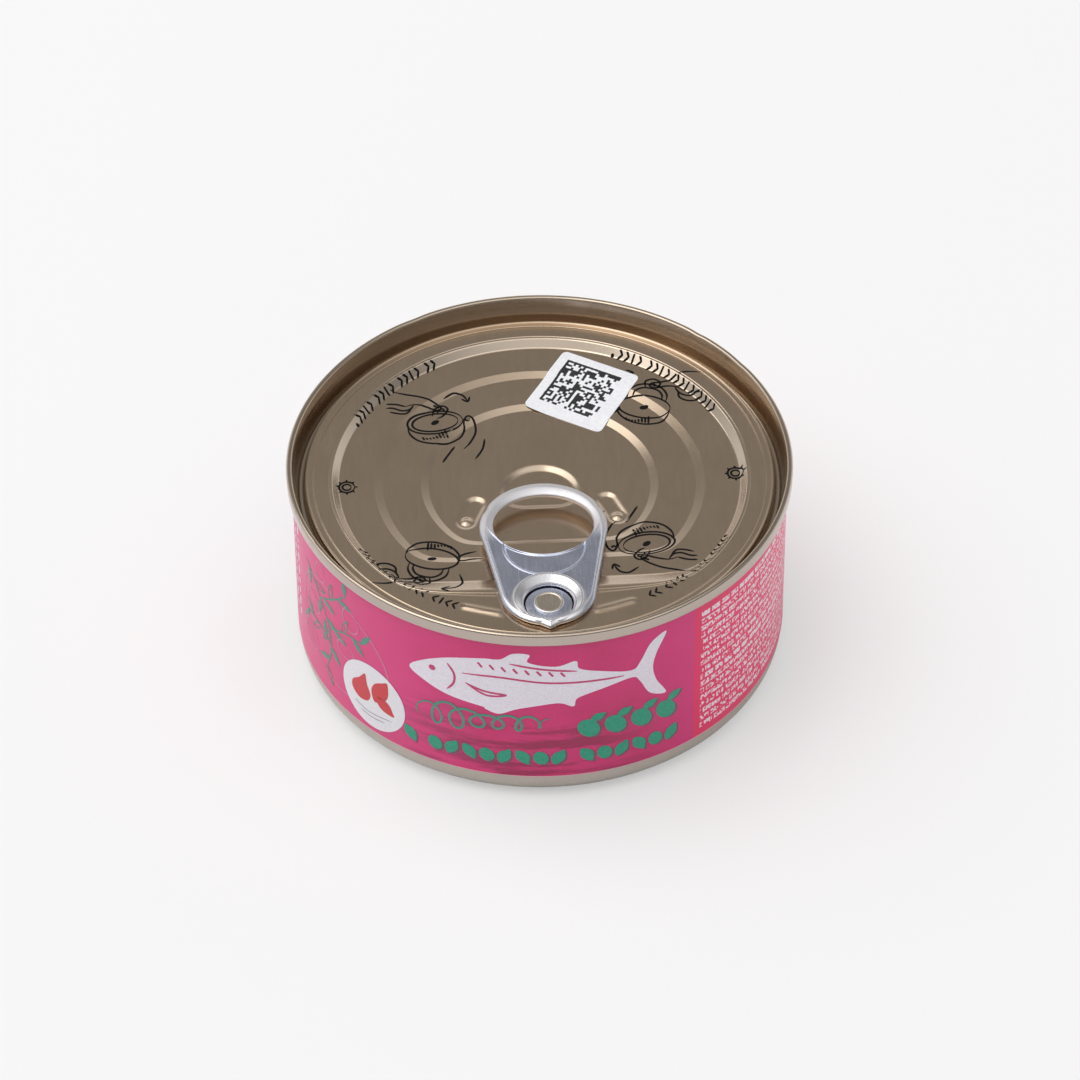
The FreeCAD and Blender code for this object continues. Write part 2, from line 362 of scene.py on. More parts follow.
lid_outline = [
    (0, lid_low.z, 0),
    (BODY_RADIUS - BODY_SHEET, lid_low.z, 0),
    (BODY_RADIUS - BODY_SHEET, SEAM_FLOOR, 0),
    (RIM_RADIUS - 0.05, SEAM_FLOOR, 0.4),
    (RIM_RADIUS, RIM_TOP, 0.46),
    (RIM_RADIUS - 1.0, RIM_TOP, 0.44),
    (42.3, below(2.2), 0.5),
    (41.6, below(5.3), 0.38),
    (40.75, below(5.3), 0.38),
    (40.42, below(LAND - 0.15), 0.17),
    (39.95, below(LAND), 0.1),
    (39.6, below(LAND), 0),
]
lid_points = rounded(lid_outline, steps=6)[:-1]
start = 39.8
for cut, half_cut, deep in ((SCORE_RADIUS, 0.09, 0.08), (SHOULDER, 0.12, 0.14)):
    lid_points += ring_run(start, cut + half_cut, below(LAND), 0.14)
    lid_points += [
        Vector((cut + half_cut, below(LAND))),
        Vector((cut, below(LAND + deep))),
        Vector((cut - half_cut, below(LAND))),
    ]
    start = cut - half_cut
level = LAND
for upper, _, lower, _, reached in TERRACES:
    lid_points += ring_run(start, upper + 0.25, below(level), 0.8)
    lid_points += rounded([
        (upper + 0.25, below(level), 0),
        (upper, below(level), 0.4),
        (lower, below(reached), 0.5),
        (lower - 0.6, below(reached), 0),
    ], steps=4)
    level = reached
    start = lower - 0.6
lid_points += ring_run(start, 0, below(level), 0.3) + [Vector((0, below(level)))]
lid = spun("pressed_lid", lid_points, LID_TURNS)
place = np.empty(len(lid.data.vertices) * 3)
lid.data.vertices.foreach_get("co", place)
place = place.reshape(-1, 3) / MM
panel = (np.hypot(place[:, 0], place[:, 1]) < LAND_EDGE) & (place[:, 2] > lid_low.z + 0.1)
x, y = press_fronts(place[panel, 0], place[panel, 1])
place[panel, 0] = x
place[panel, 1] = y
place[panel, 2] += press_marks(x, y)
turn = np.arctan2(place[:, 1], place[:, 0])
rim = np.clip((place[:, 2] - below(2.6)) / 2.0, 0, 1) * (np.hypot(place[:, 0], place[:, 1]) > 42.0)
for bearing, spread, knock in RIM_KNOCKS:
    swing = np.arctan2(np.sin(turn - math.radians(bearing)), np.cos(turn - math.radians(bearing)))
    soft = rim * np.exp(-(swing / math.radians(spread)) ** 2)
    place[:, 0] -= soft * knock * np.cos(turn)
    place[:, 1] -= soft * knock * np.sin(turn)
    place[:, 2] -= soft * knock * 0.8
lid.data.vertices.foreach_set("co", (place * MM).ravel())
lid.data.update()
# Painted sheen makes the lacquer lighter on the terrace slopes, where the dies also drew it
# thinner.
tilt = np.empty(len(lid.data.vertices) * 3)
lid.data.vertices.foreach_get("normal", tilt)
tilt = 1 - np.clip(tilt.reshape(-1, 3)[:, 2], 0, 1)
stretched_and_sheen = lid.data.attributes.new("stretched_and_sheen", "FLOAT", "POINT")
thin_and_sheen = np.where(panel, np.clip(tilt / SHEEN_SLOPE_TILT, 0, 1), 0)
stretched_and_sheen.data.foreach_set("value", thin_and_sheen.astype(np.float32))

lid_lacquer, tree, shader, sheet, colour = sheet_metal(
    "lid_lacquer", linear(194, 170, 145), linear(205, 183, 158), 0.18, 0.25, 0.08, 0.3,
    grain_scale=1400.0, grain_stretch=0.15, mottle_scale=60.0, scratches=0.12,
)
axes = node(tree, "SeparateXYZ", {0: on_piece(tree)}).outputs
from_axis = node(tree, "VectorMath", {
    0: node(tree, "CombineXYZ", {0: axes[0], 1: axes[1]}).outputs[0],
}, operation="LENGTH").outputs["Value"]
outside = ramped(tree, from_axis, 43.3 * MM, 43.55 * MM)
# Painted sheen: the lacquer is mixed lighter on the terrace slopes.
steep = node(tree, "Attribute", attribute_name="stretched_and_sheen").outputs["Fac"]
lacquer_and_painted_light = blend_colour(tree, times(tree, steep, 0.7), colour, linear(186, 174, 160))
lacquer_and_painted_light = blend_colour(tree, outside, lacquer_and_painted_light, linear(180, 168, 158))
# Painted shade: the groove, the chuck wall and the inside of the rim crown are painted darker and
# greyer.
groove_painted_shade = ramped(tree, from_axis, 40.3 * MM, 40.9 * MM)
groove_painted_shade = times(tree, groove_painted_shade, maths(tree, "SUBTRACT", 1.0, outside))
lacquer_and_painted_light = blend_colour(tree, groove_painted_shade, lacquer_and_painted_light, linear(182, 166, 148))
feed(tree, shader, "Base Color", lacquer_and_painted_light)
lid.data.materials.append(lid_lacquer)
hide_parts("lid_end")
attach(lid, "root")

# ------------------------------------------------------------------ rivet
# The rivet is drawn up out of the lid's own sheet through the tab and flattened over it, which
# rubs the lacquer off its shoulder.
tab_low, tab_high = (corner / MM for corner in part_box("pull_tab"))
RIVET_Y = -32.6
HEAD_RADIUS = 2.55
ISLAND_TOP = tab_low.z + 0.5


def far_from(tree, y, height):
    """Distance on a piece from a point on the can's middle line."""
    return node(tree, "VectorMath", {
        0: on_piece(tree), 1: (0, y * MM, height * MM),
    }, operation="DISTANCE").outputs["Value"]


rivet_points = rounded([
    (0, ISLAND_TOP - 0.3, 0),
    (1.7, ISLAND_TOP - 0.3, 0),
    (1.7, ISLAND_TOP + 0.02, 0.05),
    (HEAD_RADIUS, ISLAND_TOP + 0.02, 0.12),
    (HEAD_RADIUS, ISLAND_TOP + 0.42, 0.2),
    (HEAD_RADIUS - 0.34, ISLAND_TOP + 0.46, 0.05),
    (HEAD_RADIUS - 0.5, ISLAND_TOP + 0.36, 0.08),
    (0, ISLAND_TOP + 0.4, 0),
], steps=4)
rivet = spun("rivet_head", rivet_points, 96, centre=(0, RIVET_Y))
rivet_metal, tree, shader, sheet, colour = sheet_metal(
    "rivet_metal", linear(190, 176, 160), linear(206, 194, 178), 0.22, 0.34, 0.2, 0.2,
    grain_scale=2600.0, mottle_scale=300.0, scratches=0.6,
)
rubbed = ramped(tree, far_from(tree, RIVET_Y, ISLAND_TOP + 0.4), 2.28 * MM, 2.42 * MM)
feed(tree, shader, "Base Color", blend_colour(tree, rubbed, colour, linear(226, 226, 230)))
rivet.data.materials.append(rivet_metal)
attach(rivet, "root")

# ------------------------------------------------------------------ pull tab
# The tab is stamped from bare aluminium sheet. Its edges are curled under, so that the ring is a
# round bead, and its web carries a pressed crescent. Its ring and bead crowns are painted pale,
# partly where the press rubbed them and partly as painted highlight.
RING_Y, RING_RADIUS = -14.0, tab_high.x
NOSE_Y, NOSE_RADIUS = -29.6, 8.2
HOLE_Y, HOLE_X_HALF, HOLE_Y_HALF = -13.4, 8.6, 7.4
BEAK_LENGTH = NOSE_Y - NOSE_RADIUS - tab_low.y
RAYS = 520
WEB_STEPS = 84
WEB_LEVEL = tab_high.z - 0.26
WEB_SHEET = 0.3
CURL = 0.62
HOLE_CURL = 0.3
COLLAR_Y = -31.6
COLLAR_FOOT = 6.1
DISH_EDGE, DISH_LEAN = COLLAR_FOOT - 0.25, 0.95
SLOT_FLOOR = tab_low.z + 0.02


def tab_reach(angle):
    """Distance from the middle of the finger hole to the tab's outline in a direction."""
    ux, uy = np.cos(angle), np.sin(angle)
    taper = math.asin((RING_RADIUS - NOSE_RADIUS) / (RING_Y - NOSE_Y))

    def to_circle(centre_y, radius):
        along = uy * (centre_y - HOLE_Y)
        square = along ** 2 - (centre_y - HOLE_Y) ** 2 + radius ** 2
        return np.where(square > 0, along + np.sqrt(np.maximum(square, 0)), 0)

    to_side = (RING_RADIUS - (RING_Y - HOLE_Y) * math.sin(taper)) / np.maximum(
        np.abs(ux) * math.cos(taper) - uy * math.sin(taper), 1e-6
    )
    side_y = HOLE_Y + to_side * uy
    on_side = (side_y < RING_Y - RING_RADIUS * math.sin(taper)) & (
        side_y > NOSE_Y - NOSE_RADIUS * math.sin(taper)
    )
    reach = np.maximum(to_circle(RING_Y, RING_RADIUS), to_circle(NOSE_Y, NOSE_RADIUS))
    reach = np.where(on_side, np.maximum(reach, to_side), reach)
    beak = np.clip(1 - np.abs(reach * ux) / 1.8, 0, 1) * (uy < -0.5)
    kink = np.exp(-((np.abs(reach * ux) - 9.8) / 0.5) ** 2) * (uy > 0.2)
    return reach + BEAK_LENGTH * beak ** 1.3 - 0.22 * kink


def hole_reach(angle):
    """Distance from the middle of the finger hole to its edge in a direction."""
    return 1 / np.hypot(np.cos(angle) / HOLE_X_HALF, np.sin(angle) / HOLE_Y_HALF)


def web_relief(x, y):
    """Height of the stamped web over its flat level."""
    crescent = 6.9 - np.hypot(x, y + 18.95)
    relief = -0.2 * press(crescent, 0.3) + 0.09 * (1 - press(np.abs(crescent + 0.16), 0.32))
    pocket = 5.2 - np.hypot(x, y + 31.8)
    relief = np.where(pocket > 0, SLOT_FLOOR - WEB_LEVEL, relief)
    crease = (1 - press(np.abs(x), 0.3)) * press(-36.2 - y, 0.5)
    return relief - 0.16 * crease


dense = np.linspace(-math.pi / 2, 1.5 * math.pi, 6001)
reach = tab_reach(dense)
outline = np.c_[reach * np.cos(dense), reach * np.sin(dense)]
steps = np.r_[0, np.cumsum(np.hypot(*np.diff(outline, axis=0).T))]
angles = np.interp(np.linspace(0, steps[-1], RAYS, endpoint=False), steps, dense)
direction = np.c_[np.cos(angles), np.sin(angles)]
outer_reach = tab_reach(angles)
inner_reach = hole_reach(angles)
width = outer_reach - inner_reach


def squareness(reach_at):
    """How squarely each ray from the hole meets an edge: 1 for straight across."""
    slope = (reach_at(angles + 0.004) - reach_at(angles - 0.004)) / 0.008 / reach_at(angles)
    return np.clip(1 / np.hypot(1, slope), 0.55, 1)


middle_y = HOLE_Y + (outer_reach + inner_reach) / 2 * direction[:, 1]
ring_share = press(middle_y + 17.2, 4.4)
nose_share = press(-HOLE_Y - outer_reach * direction[:, 1] - 30, 6)
outer_half = (CURL + 0.24 * nose_share) / squareness(tab_reach)
outer_half = np.minimum(0.5 * width, outer_half + (0.5 * width - outer_half) * ring_share)
inner_half = HOLE_CURL / squareness(hole_reach)
inner_half = np.minimum(0.5 * width, inner_half + (0.5 * width - inner_half) * ring_share)
crown = tab_high.z
inner_crown = WEB_LEVEL + 0.1 + (crown - WEB_LEVEL - 0.1) * ring_share
waist = (tab_low.z + tab_high.z) / 2
belly = tab_low.z - 0.6 * ring_share
rows = []


def arch(turn, slant):
    """Height share of a bead's roof, with some straight slope so that its crown is a soft ridge."""
    return (1 - slant) * math.sin(turn) + slant * (1 - math.cos(turn))


under_turns = np.linspace(-math.pi / 2, 0, 6)[:-1]
roof_turns = np.linspace(0, math.pi / 2, 11)
for turn in under_turns:
    rows.append((outer_half * (1 - math.cos(turn)), waist + (waist - belly) * math.sin(turn)))
for turn in roof_turns:
    rows.append((outer_half * (1 - math.cos(turn)), waist + (crown - waist) * arch(turn, 0.3)))
fall = np.maximum(np.minimum(0.42, (width - outer_half - inner_half) * 0.3), 1e-4)
for step in range(1, WEB_STEPS):
    across = outer_half + step / WEB_STEPS * (width - outer_half - inner_half)
    from_outer, from_inner = across - outer_half, width - inner_half - across
    spot = direction * (outer_reach - across)[:, None]
    web = WEB_LEVEL + web_relief(spot[:, 0], spot[:, 1] + HOLE_Y)
    web = web + (crown - web) * (1 - press(from_outer, fall))
    web = web + (inner_crown - web) * (1 - press(from_inner, fall * 0.6))
    rows.append((across, web + (crown - web) * ring_share))
for turn in roof_turns[::-1]:
    high = waist + (inner_crown - waist) * arch(turn, 0.35)
    rows.append((width - inner_half * (1 - math.cos(turn)), high))
for turn in under_turns[::-1]:
    low = waist + (waist - belly) * math.sin(turn)
    rows.append((width - inner_half * (1 - math.cos(turn)), low))
UNDER_STEPS = 14
for step in range(1, UNDER_STEPS):
    across = width - inner_half - step / UNDER_STEPS * (width - outer_half - inner_half)
    from_bead = np.minimum(across - outer_half, width - inner_half - across)
    spot = direction * (outer_reach - across)[:, None]
    under = WEB_LEVEL - WEB_SHEET + np.minimum(web_relief(spot[:, 0], spot[:, 1] + HOLE_Y), 0)
    lift = press(from_bead, 0.5) * (1 - ring_share)
    rows.append((across, belly + np.maximum(under - tab_low.z, 0) * lift))
points = []
for across, height in rows:
    spot = direction * (outer_reach - across)[:, None]
    points.append(np.c_[spot[:, 0], spot[:, 1] + HOLE_Y, np.broadcast_to(height, RAYS)])
points = np.concatenate(points) * MM
count = len(rows)
faces = [
    (row * RAYS + ray, row * RAYS + (ray + 1) % RAYS,
     (row + 1) % count * RAYS + (ray + 1) % RAYS, (row + 1) % count * RAYS + ray)
    for row in range(count) for ray in range(RAYS)
]
tab = new_piece("ring_pull", points.tolist(), [], faces)
bpy.ops.object.mode_set(mode="EDIT")
bpy.ops.mesh.select_all(action="SELECT")
bpy.ops.mesh.normals_make_consistent(inside=False)
bpy.ops.object.mode_set(mode="OBJECT")
bpy.ops.object.shade_smooth()
tab_metal, tree, shader, sheet, colour = sheet_metal(
    "tab_aluminium", linear(176, 181, 199), linear(206, 209, 222), 0.2, 0.34, 0.35, 0.0,
    grain_scale=3000.0, grain_stretch=0.08, mottle_scale=240.0, scratches=0.7,
)
# The curled ring and the raised bead crowns are painted a pale satin, partly rubbed metal and
# partly painted highlight, and the flat web keeps the bluish mill finish. Painted shade darkens
# the slot floor behind the rivet.
axes = node(tree, "SeparateXYZ", {0: on_piece(tree)}).outputs
ring_rubbed_and_sheen = ramped(tree, axes[1], -17.5 * MM, -14.0 * MM)
raised = ramped(tree, axes[2], (WEB_LEVEL + 0.08) * MM, (WEB_LEVEL + 0.2) * MM)
rubbed = maths(tree, "MAXIMUM", ring_rubbed_and_sheen, raised)
rubbed_and_sheen_colour = blend_colour(tree, rubbed, colour, linear(216, 214, 216))
# Painted shade: the slot floor behind the rivet is mixed near black for the shadowed gap under it.
gap = ramped(tree, axes[2], (SLOT_FLOOR + 0.2) * MM, (SLOT_FLOOR + 0.08) * MM)
from_rivet = far_from(tree, RIVET_Y, SLOT_FLOOR)
gap = times(tree, gap, ramped(tree, from_rivet, 4.9 * MM, 4.6 * MM))
# Painted highlight, partly rubbed metal: the collar's crown is mixed pale.
from_collar = far_from(tree, COLLAR_Y - 0.4, WEB_LEVEL)
collar_rubbed_and_sheen = times(
    tree, ramped(tree, from_collar, 6.5 * MM, 6.3 * MM),
    ramped(tree, from_collar, 3.9 * MM, 4.2 * MM), 0.9,
)
rubbed_and_sheen_colour = blend_colour(tree, collar_rubbed_and_sheen, rubbed_and_sheen_colour, linear(226, 224, 226))
feed(tree, shader, "Base Color", blend_colour(tree, gap, rubbed_and_sheen_colour, linear(40, 36, 38)))
satin = ramped(tree, sheet.outputs["Roughness"], 0.25, 0.75, 0.44, 0.54)
plain = ramped(tree, sheet.outputs["Roughness"], 0.25, 0.75, 0.2, 0.34)
rough_mix = node(tree, "Mix", {0: ring_rubbed_and_sheen, 2: plain, 3: satin}).outputs[0]
feed(tree, shader, "Roughness", rough_mix)
tab.data.materials.append(tab_metal)
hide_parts("pull_tab")
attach(tab, "root")

# The collar round the rivet: a rounded wall pressed up from the web, dished inside in two steps.
# Its dish leans towards the nose, so that the slope is wide behind the rivet and steep before it.
collar_points = rounded([
    (COLLAR_FOOT, SLOT_FLOOR + 0.3, 0),
    (COLLAR_FOOT, WEB_LEVEL - 0.06, 0.03),
    (5.82, crown + 0.04, 0.34),
    (4.66, WEB_LEVEL - 0.24, 0.16),
    (4.52, WEB_LEVEL - 0.2, 0.05),
    (4.36, WEB_LEVEL - 0.42, 0.08),
    (4.24, WEB_LEVEL - 0.42, 0.04),
    (4.2, SLOT_FLOOR + 0.05, 0.02),
    (4.6, SLOT_FLOOR + 0.02, 0),
    (COLLAR_FOOT, SLOT_FLOOR + 0.3, 0),
], steps=6)
collar = spun("tab_collar", collar_points, 160, centre=(0, COLLAR_Y))
for vertex in collar.data.vertices:
    out = math.hypot(vertex.co.x / MM, vertex.co.y / MM - COLLAR_Y)
    lean = min(1, max(0, (DISH_EDGE - out) / (DISH_EDGE - 4.6)))
    vertex.co.y -= DISH_LEAN * lean * MM
collar.data.materials.append(tab_metal)
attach(collar, "root")

# The island that the rivet holds, cut free from the collar by a C-shaped slot behind the rivet
# and left joined towards the nose, where it bends when the ring is lifted.
island_points = rounded([
    (0, SLOT_FLOOR + 0.06, 0),
    (3.96, SLOT_FLOOR + 0.06, 0),
    (3.96, ISLAND_TOP - 0.06, 0.14),
    (2.9, ISLAND_TOP + 0.08, 0.3),
    (0, ISLAND_TOP + 0.08, 0),
], steps=5)
island = spun("rivet_island", island_points, 128, centre=(0, RIVET_Y))
for vertex in island.data.vertices:
    x, y = vertex.co.x / MM, vertex.co.y / MM - RIVET_Y
    out = math.hypot(x, y)
    if out > 2.9:
        front = min(1, max(0, (-y / out - 0.35) / 0.3))
        stretch = 1 + 0.2 * front * (out - 2.9)
        vertex.co.x = x * stretch * MM
        vertex.co.y = (RIVET_Y + y * stretch) * MM
island.data.materials.append(tab_metal)
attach(island, "root")

# ------------------------------------------------------------------ paper label
# The label is a belt of coated paper, printed in magenta and red, wrapped round the wall under
# the seam and glued where its ends overlap at the back.
label_low, label_high = (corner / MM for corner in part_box("label"))
LABEL_RADIUS = label_high.x
LABEL_TOP = label_high.z - 0.15
LABEL_BOTTOM = label_low.z
LABEL_OVERLAP = 1.6
PANEL_FROM, PANEL_TO = math.radians(35.0), math.radians(146.0)
PANEL_MARGIN = 0.035
ROW_PITCH, ROW_START, ROW_END = 1.65, 6.9, 35.1


def wrapped(along, height, lift):
    """Point on the label: along the belt from the front, up from the table, out from the paper."""
    angle = along / LABEL_RADIUS
    radius = LABEL_RADIUS + lift
    return (radius * math.sin(angle) * MM, -radius * math.cos(angle) * MM, height * MM)


def solid_sheet(name, vertices, faces, thickness):
    """Sheet from vertices and faces that gets its thickness behind it, as one clean piece."""
    piece = new_piece(name, vertices, [], faces)
    bpy.ops.object.mode_set(mode="EDIT")
    bpy.ops.mesh.select_all(action="SELECT")
    bpy.ops.mesh.remove_doubles(threshold=0.0005 * MM)
    bpy.ops.object.mode_set(mode="OBJECT")
    solid = piece.modifiers.new("paper", "SOLIDIFY")
    solid.thickness = thickness * MM
    solid.offset = -1
    bpy.ops.object.modifier_apply(modifier="paper")
    return piece


belt = 2 * math.pi * LABEL_RADIUS
ALONG_STEPS, UP_STEPS = 300, 12
vertices = []
for step in range(ALONG_STEPS + 1):
    along = -belt / 2 + (belt + LABEL_OVERLAP) * step / ALONG_STEPS
    over = along - (belt / 2 - 0.6)
    lift = 0.13 * min(1, max(0, over / 1.2))
    for row in range(UP_STEPS + 1):
        height = LABEL_BOTTOM + (LABEL_TOP - LABEL_BOTTOM) * row / UP_STEPS
        vertices.append(wrapped(along, height, lift))
column = UP_STEPS + 1
faces = [
    (step * column + row, (step + 1) * column + row,
     (step + 1) * column + row + 1, step * column + row + 1)
    for step in range(ALONG_STEPS) for row in range(UP_STEPS)
]
label = solid_sheet("paper_label", vertices, faces, 0.1)
bpy.ops.object.shade_smooth_by_angle(angle=math.radians(35))


def between(tree, value, low, high):
    """1 where a value lies between two others, and 0 elsewhere."""
    return times(
        tree, maths(tree, "GREATER_THAN", value, low), maths(tree, "LESS_THAN", value, high)
    )


label_print, tree, shader = material("label_print")
place = on_piece(tree)
axes = node(tree, "SeparateXYZ", {0: place}).outputs
toward_front = times(tree, axes[1], -1.0)
angle = maths(tree, "ARCTAN2", axes[0], toward_front)
along = times(tree, angle, LABEL_RADIUS)
height = maths(tree, "DIVIDE", axes[2], MM)
flat_place = node(tree, "CombineXYZ", {0: along, 1: height}).outputs[0]
dots = noise(tree, flat_place, 3.2, 3.0, 0.7)
cloud = noise(tree, flat_place, 0.09, 2.0)
tone = maths(tree, "ADD", times(tree, dots, 0.55), times(tree, cloud, 0.45))
tone = ramped(tree, tone, 0.38, 0.62)
magenta = blend_colour(tree, tone, linear(196, 30, 100), linear(213, 44, 116))
slanted = node(tree, "Mapping", {
    "Vector": flat_place, "Rotation": (0, 0, math.radians(-34)), "Scale": (0.055, 0.42, 1),
}).outputs[0]
strokes = noise(tree, slanted, 1.0, 5.0, 0.6)
stroke_mask = ramped(tree, strokes, 0.48, 0.57)
low = ramped(tree, height, 22.0, 15.0)
left = ramped(tree, along, -31.0, -22.0)
right = ramped(tree, along, 22.0, 8.0)
stroke_mask = times(tree, stroke_mask, low, times(tree, left, right))
magenta = blend_colour(tree, times(tree, stroke_mask, 0.85), magenta, linear(146, 20, 74))
# Painted sheen: the magenta is mixed lighter towards the left of the front.
left_painted_sheen = ramped(tree, along, -10.0, -27.0)
magenta = blend_colour(tree, times(tree, left_painted_sheen, 0.32), magenta, linear(232, 74, 144))
# Painted shade: the magenta is mixed darker low on the right of the front and round the back.
shade = times(tree, ramped(tree, along, 5.0, 26.0), ramped(tree, height, 28.0, 12.0))
magenta = blend_colour(tree, times(tree, shade, 0.5), magenta, linear(182, 26, 88))
# Painted highlight: the magenta is mixed lighter from the right of the front round to the back.
bright = ramped(tree, along, 14.0, 26.0)
magenta = blend_colour(tree, times(tree, bright, 0.4), magenta, linear(232, 34, 136))
in_panel = between(tree, angle, PANEL_FROM, PANEL_TO)
red = blend_colour(tree, tone, linear(224, 18, 90), linear(236, 26, 102))
colour = blend_colour(tree, in_panel, magenta, red)
# Rows of small print: bands of fine white squiggles with gaps between them, and no letters.
row_place = maths(tree, "DIVIDE", maths(tree, "SUBTRACT", height, ROW_START), ROW_PITCH)
row = maths(tree, "FLOOR", row_place)
in_row = maths(tree, "FRACT", row_place)
row_shift = node(tree, "TexWhiteNoise", {"W": row}, noise_dimensions="1D").outputs[0]
letter_place = node(tree, "CombineXYZ", {
    0: times(tree, along, 2.2),
    1: maths(tree, "ADD", times(tree, row, 9.7), times(tree, in_row, 2.3)),
}).outputs[0]
letters = noise(tree, letter_place, 1.0, 1.5)
word_place = times(tree, maths(tree, "ADD", along, times(tree, row_shift, 9.0)), 0.42)
word = maths(tree, "FLOOR", word_place)
word_noise = node(tree, "TexWhiteNoise", {
    "Vector": node(tree, "CombineXYZ", {0: word, 1: row}).outputs[0],
}, noise_dimensions="2D").outputs[0]
word_edge = maths(tree, "FRACT", word_place)
gap = times(
    tree, maths(tree, "GREATER_THAN", word_noise, 0.45), maths(tree, "LESS_THAN", word_edge, 0.2)
)
bold = maths(
    tree, "ADD", maths(tree, "COMPARE", row, 16.0, 0.1), maths(tree, "COMPARE", row, 7.0, 0.1)
)
least = maths(tree, "SUBTRACT", 0.49, times(tree, bold, 0.07))
ink = ramped(tree, maths(tree, "SUBTRACT", letters, least), -0.015, 0.015)
ink = times(
    tree, ink, between(tree, in_row, 0.18, 0.84),
    between(tree, angle, PANEL_FROM + PANEL_MARGIN, PANEL_TO - PANEL_MARGIN),
    between(tree, height, ROW_START, ROW_END), maths(tree, "SUBTRACT", 1.0, gap),
)
colour = blend_colour(tree, times(tree, ink, 0.95), colour, linear(240, 226, 234))
cut = maths(tree, "LESS_THAN", height, LABEL_BOTTOM + 0.14)
colour = blend_colour(tree, times(tree, cut, 0.6), colour, linear(226, 200, 208))
feed(tree, shader, "Base Color", colour)
feed(tree, shader, "Roughness", ramped(tree, tone, 0.0, 1.0, 0.3, 0.42))
paper_relief = noise(tree, flat_place, 0.35, 4.0)
feed(tree, shader, "Normal", node(tree, "Bump", {
    "Strength": 0.25, "Distance": 0.05 * MM, "Height": paper_relief,
}).outputs[0])
shader.inputs["Specular IOR Level"].default_value = 0.4
shader.inputs["Coat Weight"].default_value = 0.14
shader.inputs["Coat Roughness"].default_value = 0.3
label.data.materials.append(label_print)
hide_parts("label")
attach(label, "root")

# ------------------------------------------------------------------ printed shapes of the label
# The front is overprinted with plain shapes: a white fish, green olives, leaves and a curled
# line with dark shadows, a white disc with an oil drop, and an olive sprig.
INK_SHEET = 0.02
STRIP = 1.4


def flow(points, closed=True, steps=8):
    """Smooth run of points through the given ones."""
    count = len(points)
    run = []
    for index in range(count if closed else count - 1):
        around = [points[(index + shift) % count] if closed else
                  points[min(max(index + shift, 0), count - 1)] for shift in (-1, 0, 1, 2)]
        for step in range(steps):
            t = step / steps
            weights = (
                -0.5 * t + t * t - 0.5 * t ** 3, 1 - 2.5 * t * t + 1.5 * t ** 3,
                0.5 * t + 2 * t * t - 1.5 * t ** 3, -0.5 * t * t + 0.5 * t ** 3,
            )
            run.append(tuple(sum(w * p[axis] for w, p in zip(weights, around)) for axis in (0, 1)))
    if not closed:
        run.append(tuple(points[-1]))
    return run


def filled(outlines):
    """Flat vertices and faces that fill closed outlines, cut into narrow strips for wrapping."""
    vertices, faces = [], []
    for outline in outlines:
        curve = bpy.data.curves.new("outline", "CURVE")
        curve.dimensions = "2D"
        curve.fill_mode = "BOTH"
        spline = curve.splines.new("POLY")
        spline.points.add(len(outline) - 1)
        spline.points.foreach_set("co", [value for x, y in outline for value in (x, y, 0, 1)])
        spline.use_cyclic_u = True
        shape = bpy.data.objects.new("outline", curve)
        bpy.context.collection.objects.link(shape)
        mesh = bpy.data.meshes.new_from_object(
            shape.evaluated_get(bpy.context.evaluated_depsgraph_get())
        )
        cutter = bmesh.new()
        cutter.from_mesh(mesh)
        least = min(x for x, _ in outline)
        most = max(x for x, _ in outline)
        position = math.ceil(least / STRIP) * STRIP
        while position < most:
            bmesh.ops.bisect_plane(
                cutter, geom=cutter.verts[:] + cutter.edges[:] + cutter.faces[:],
                plane_co=(position, 0, 0), plane_no=(1, 0, 0),
            )
            position += STRIP
        base = len(vertices)
        cutter.verts.index_update()
        vertices += [(vertex.co.x, vertex.co.y) for vertex in cutter.verts]
        faces += [tuple(base + vertex.index for vertex in face.verts) for face in cutter.faces]
        cutter.free()
        bpy.data.meshes.remove(mesh)
        bpy.data.objects.remove(shape)
    return vertices, faces


def stroked(paths, width):
    """Flat vertices and faces of drawn lines that thin out towards both ends."""
    vertices, faces = [], []
    for path in paths:
        base = len(vertices)
        last = len(path) - 1
        for index, (x, y) in enumerate(path):
            ahead, behind = path[min(index + 1, last)], path[max(index - 1, 0)]
            dx, dy = ahead[0] - behind[0], ahead[1] - behind[1]
            length = math.hypot(dx, dy) or 1
            thin = min(1, 0.35 + 4 * min(index, last - index) / last)
            half = width / 2 * thin
            vertices += [(x - dy / length * half, y + dx / length * half),
                         (x + dy / length * half, y - dx / length * half)]
        faces += [(base + 2 * i + 1, base + 2 * i + 3, base + 2 * i + 2, base + 2 * i)
                  for i in range(last)]
    return vertices, faces


def print_ink(name, low_colour, high_colour, roughness):
    """Printing ink with a fine uneven lay."""
    made, tree, shader = material(name)
    lay = noise(tree, on_piece(tree), 2600.0, 2.0)
    lay = ramped(tree, lay, 0.35, 0.65)
    feed(tree, shader, "Base Color", blend_colour(tree, lay, low_colour, high_colour))
    feed(tree, shader, "Roughness", ramped(tree, lay, 0.0, 1.0, roughness, roughness + 0.1))
    return made


def label_ink(name, shapes, lift, ink):
    """One printed colour wrapped round the label."""
    vertices, faces = [], []
    for flat_vertices, flat_faces in shapes:
        base = len(vertices)
        vertices += [wrapped(x, y, lift) for x, y in flat_vertices]
        faces += [tuple(base + index for index in face) for face in flat_faces]
    piece = solid_sheet(name, vertices, faces, INK_SHEET)
    piece.data.materials.append(ink)
    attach(piece, "root")
    return piece


def moved(points, x, y, turn=0.0, size=1.0, squash=1.0):
    """Outline squashed, turned, sized and placed on the label or the lid."""
    c, s = math.cos(math.radians(turn)), math.sin(math.radians(turn))
    return [(x + size * (px * c - py * squash * s), y + size * (px * s + py * squash * c))
            for px, py in points]


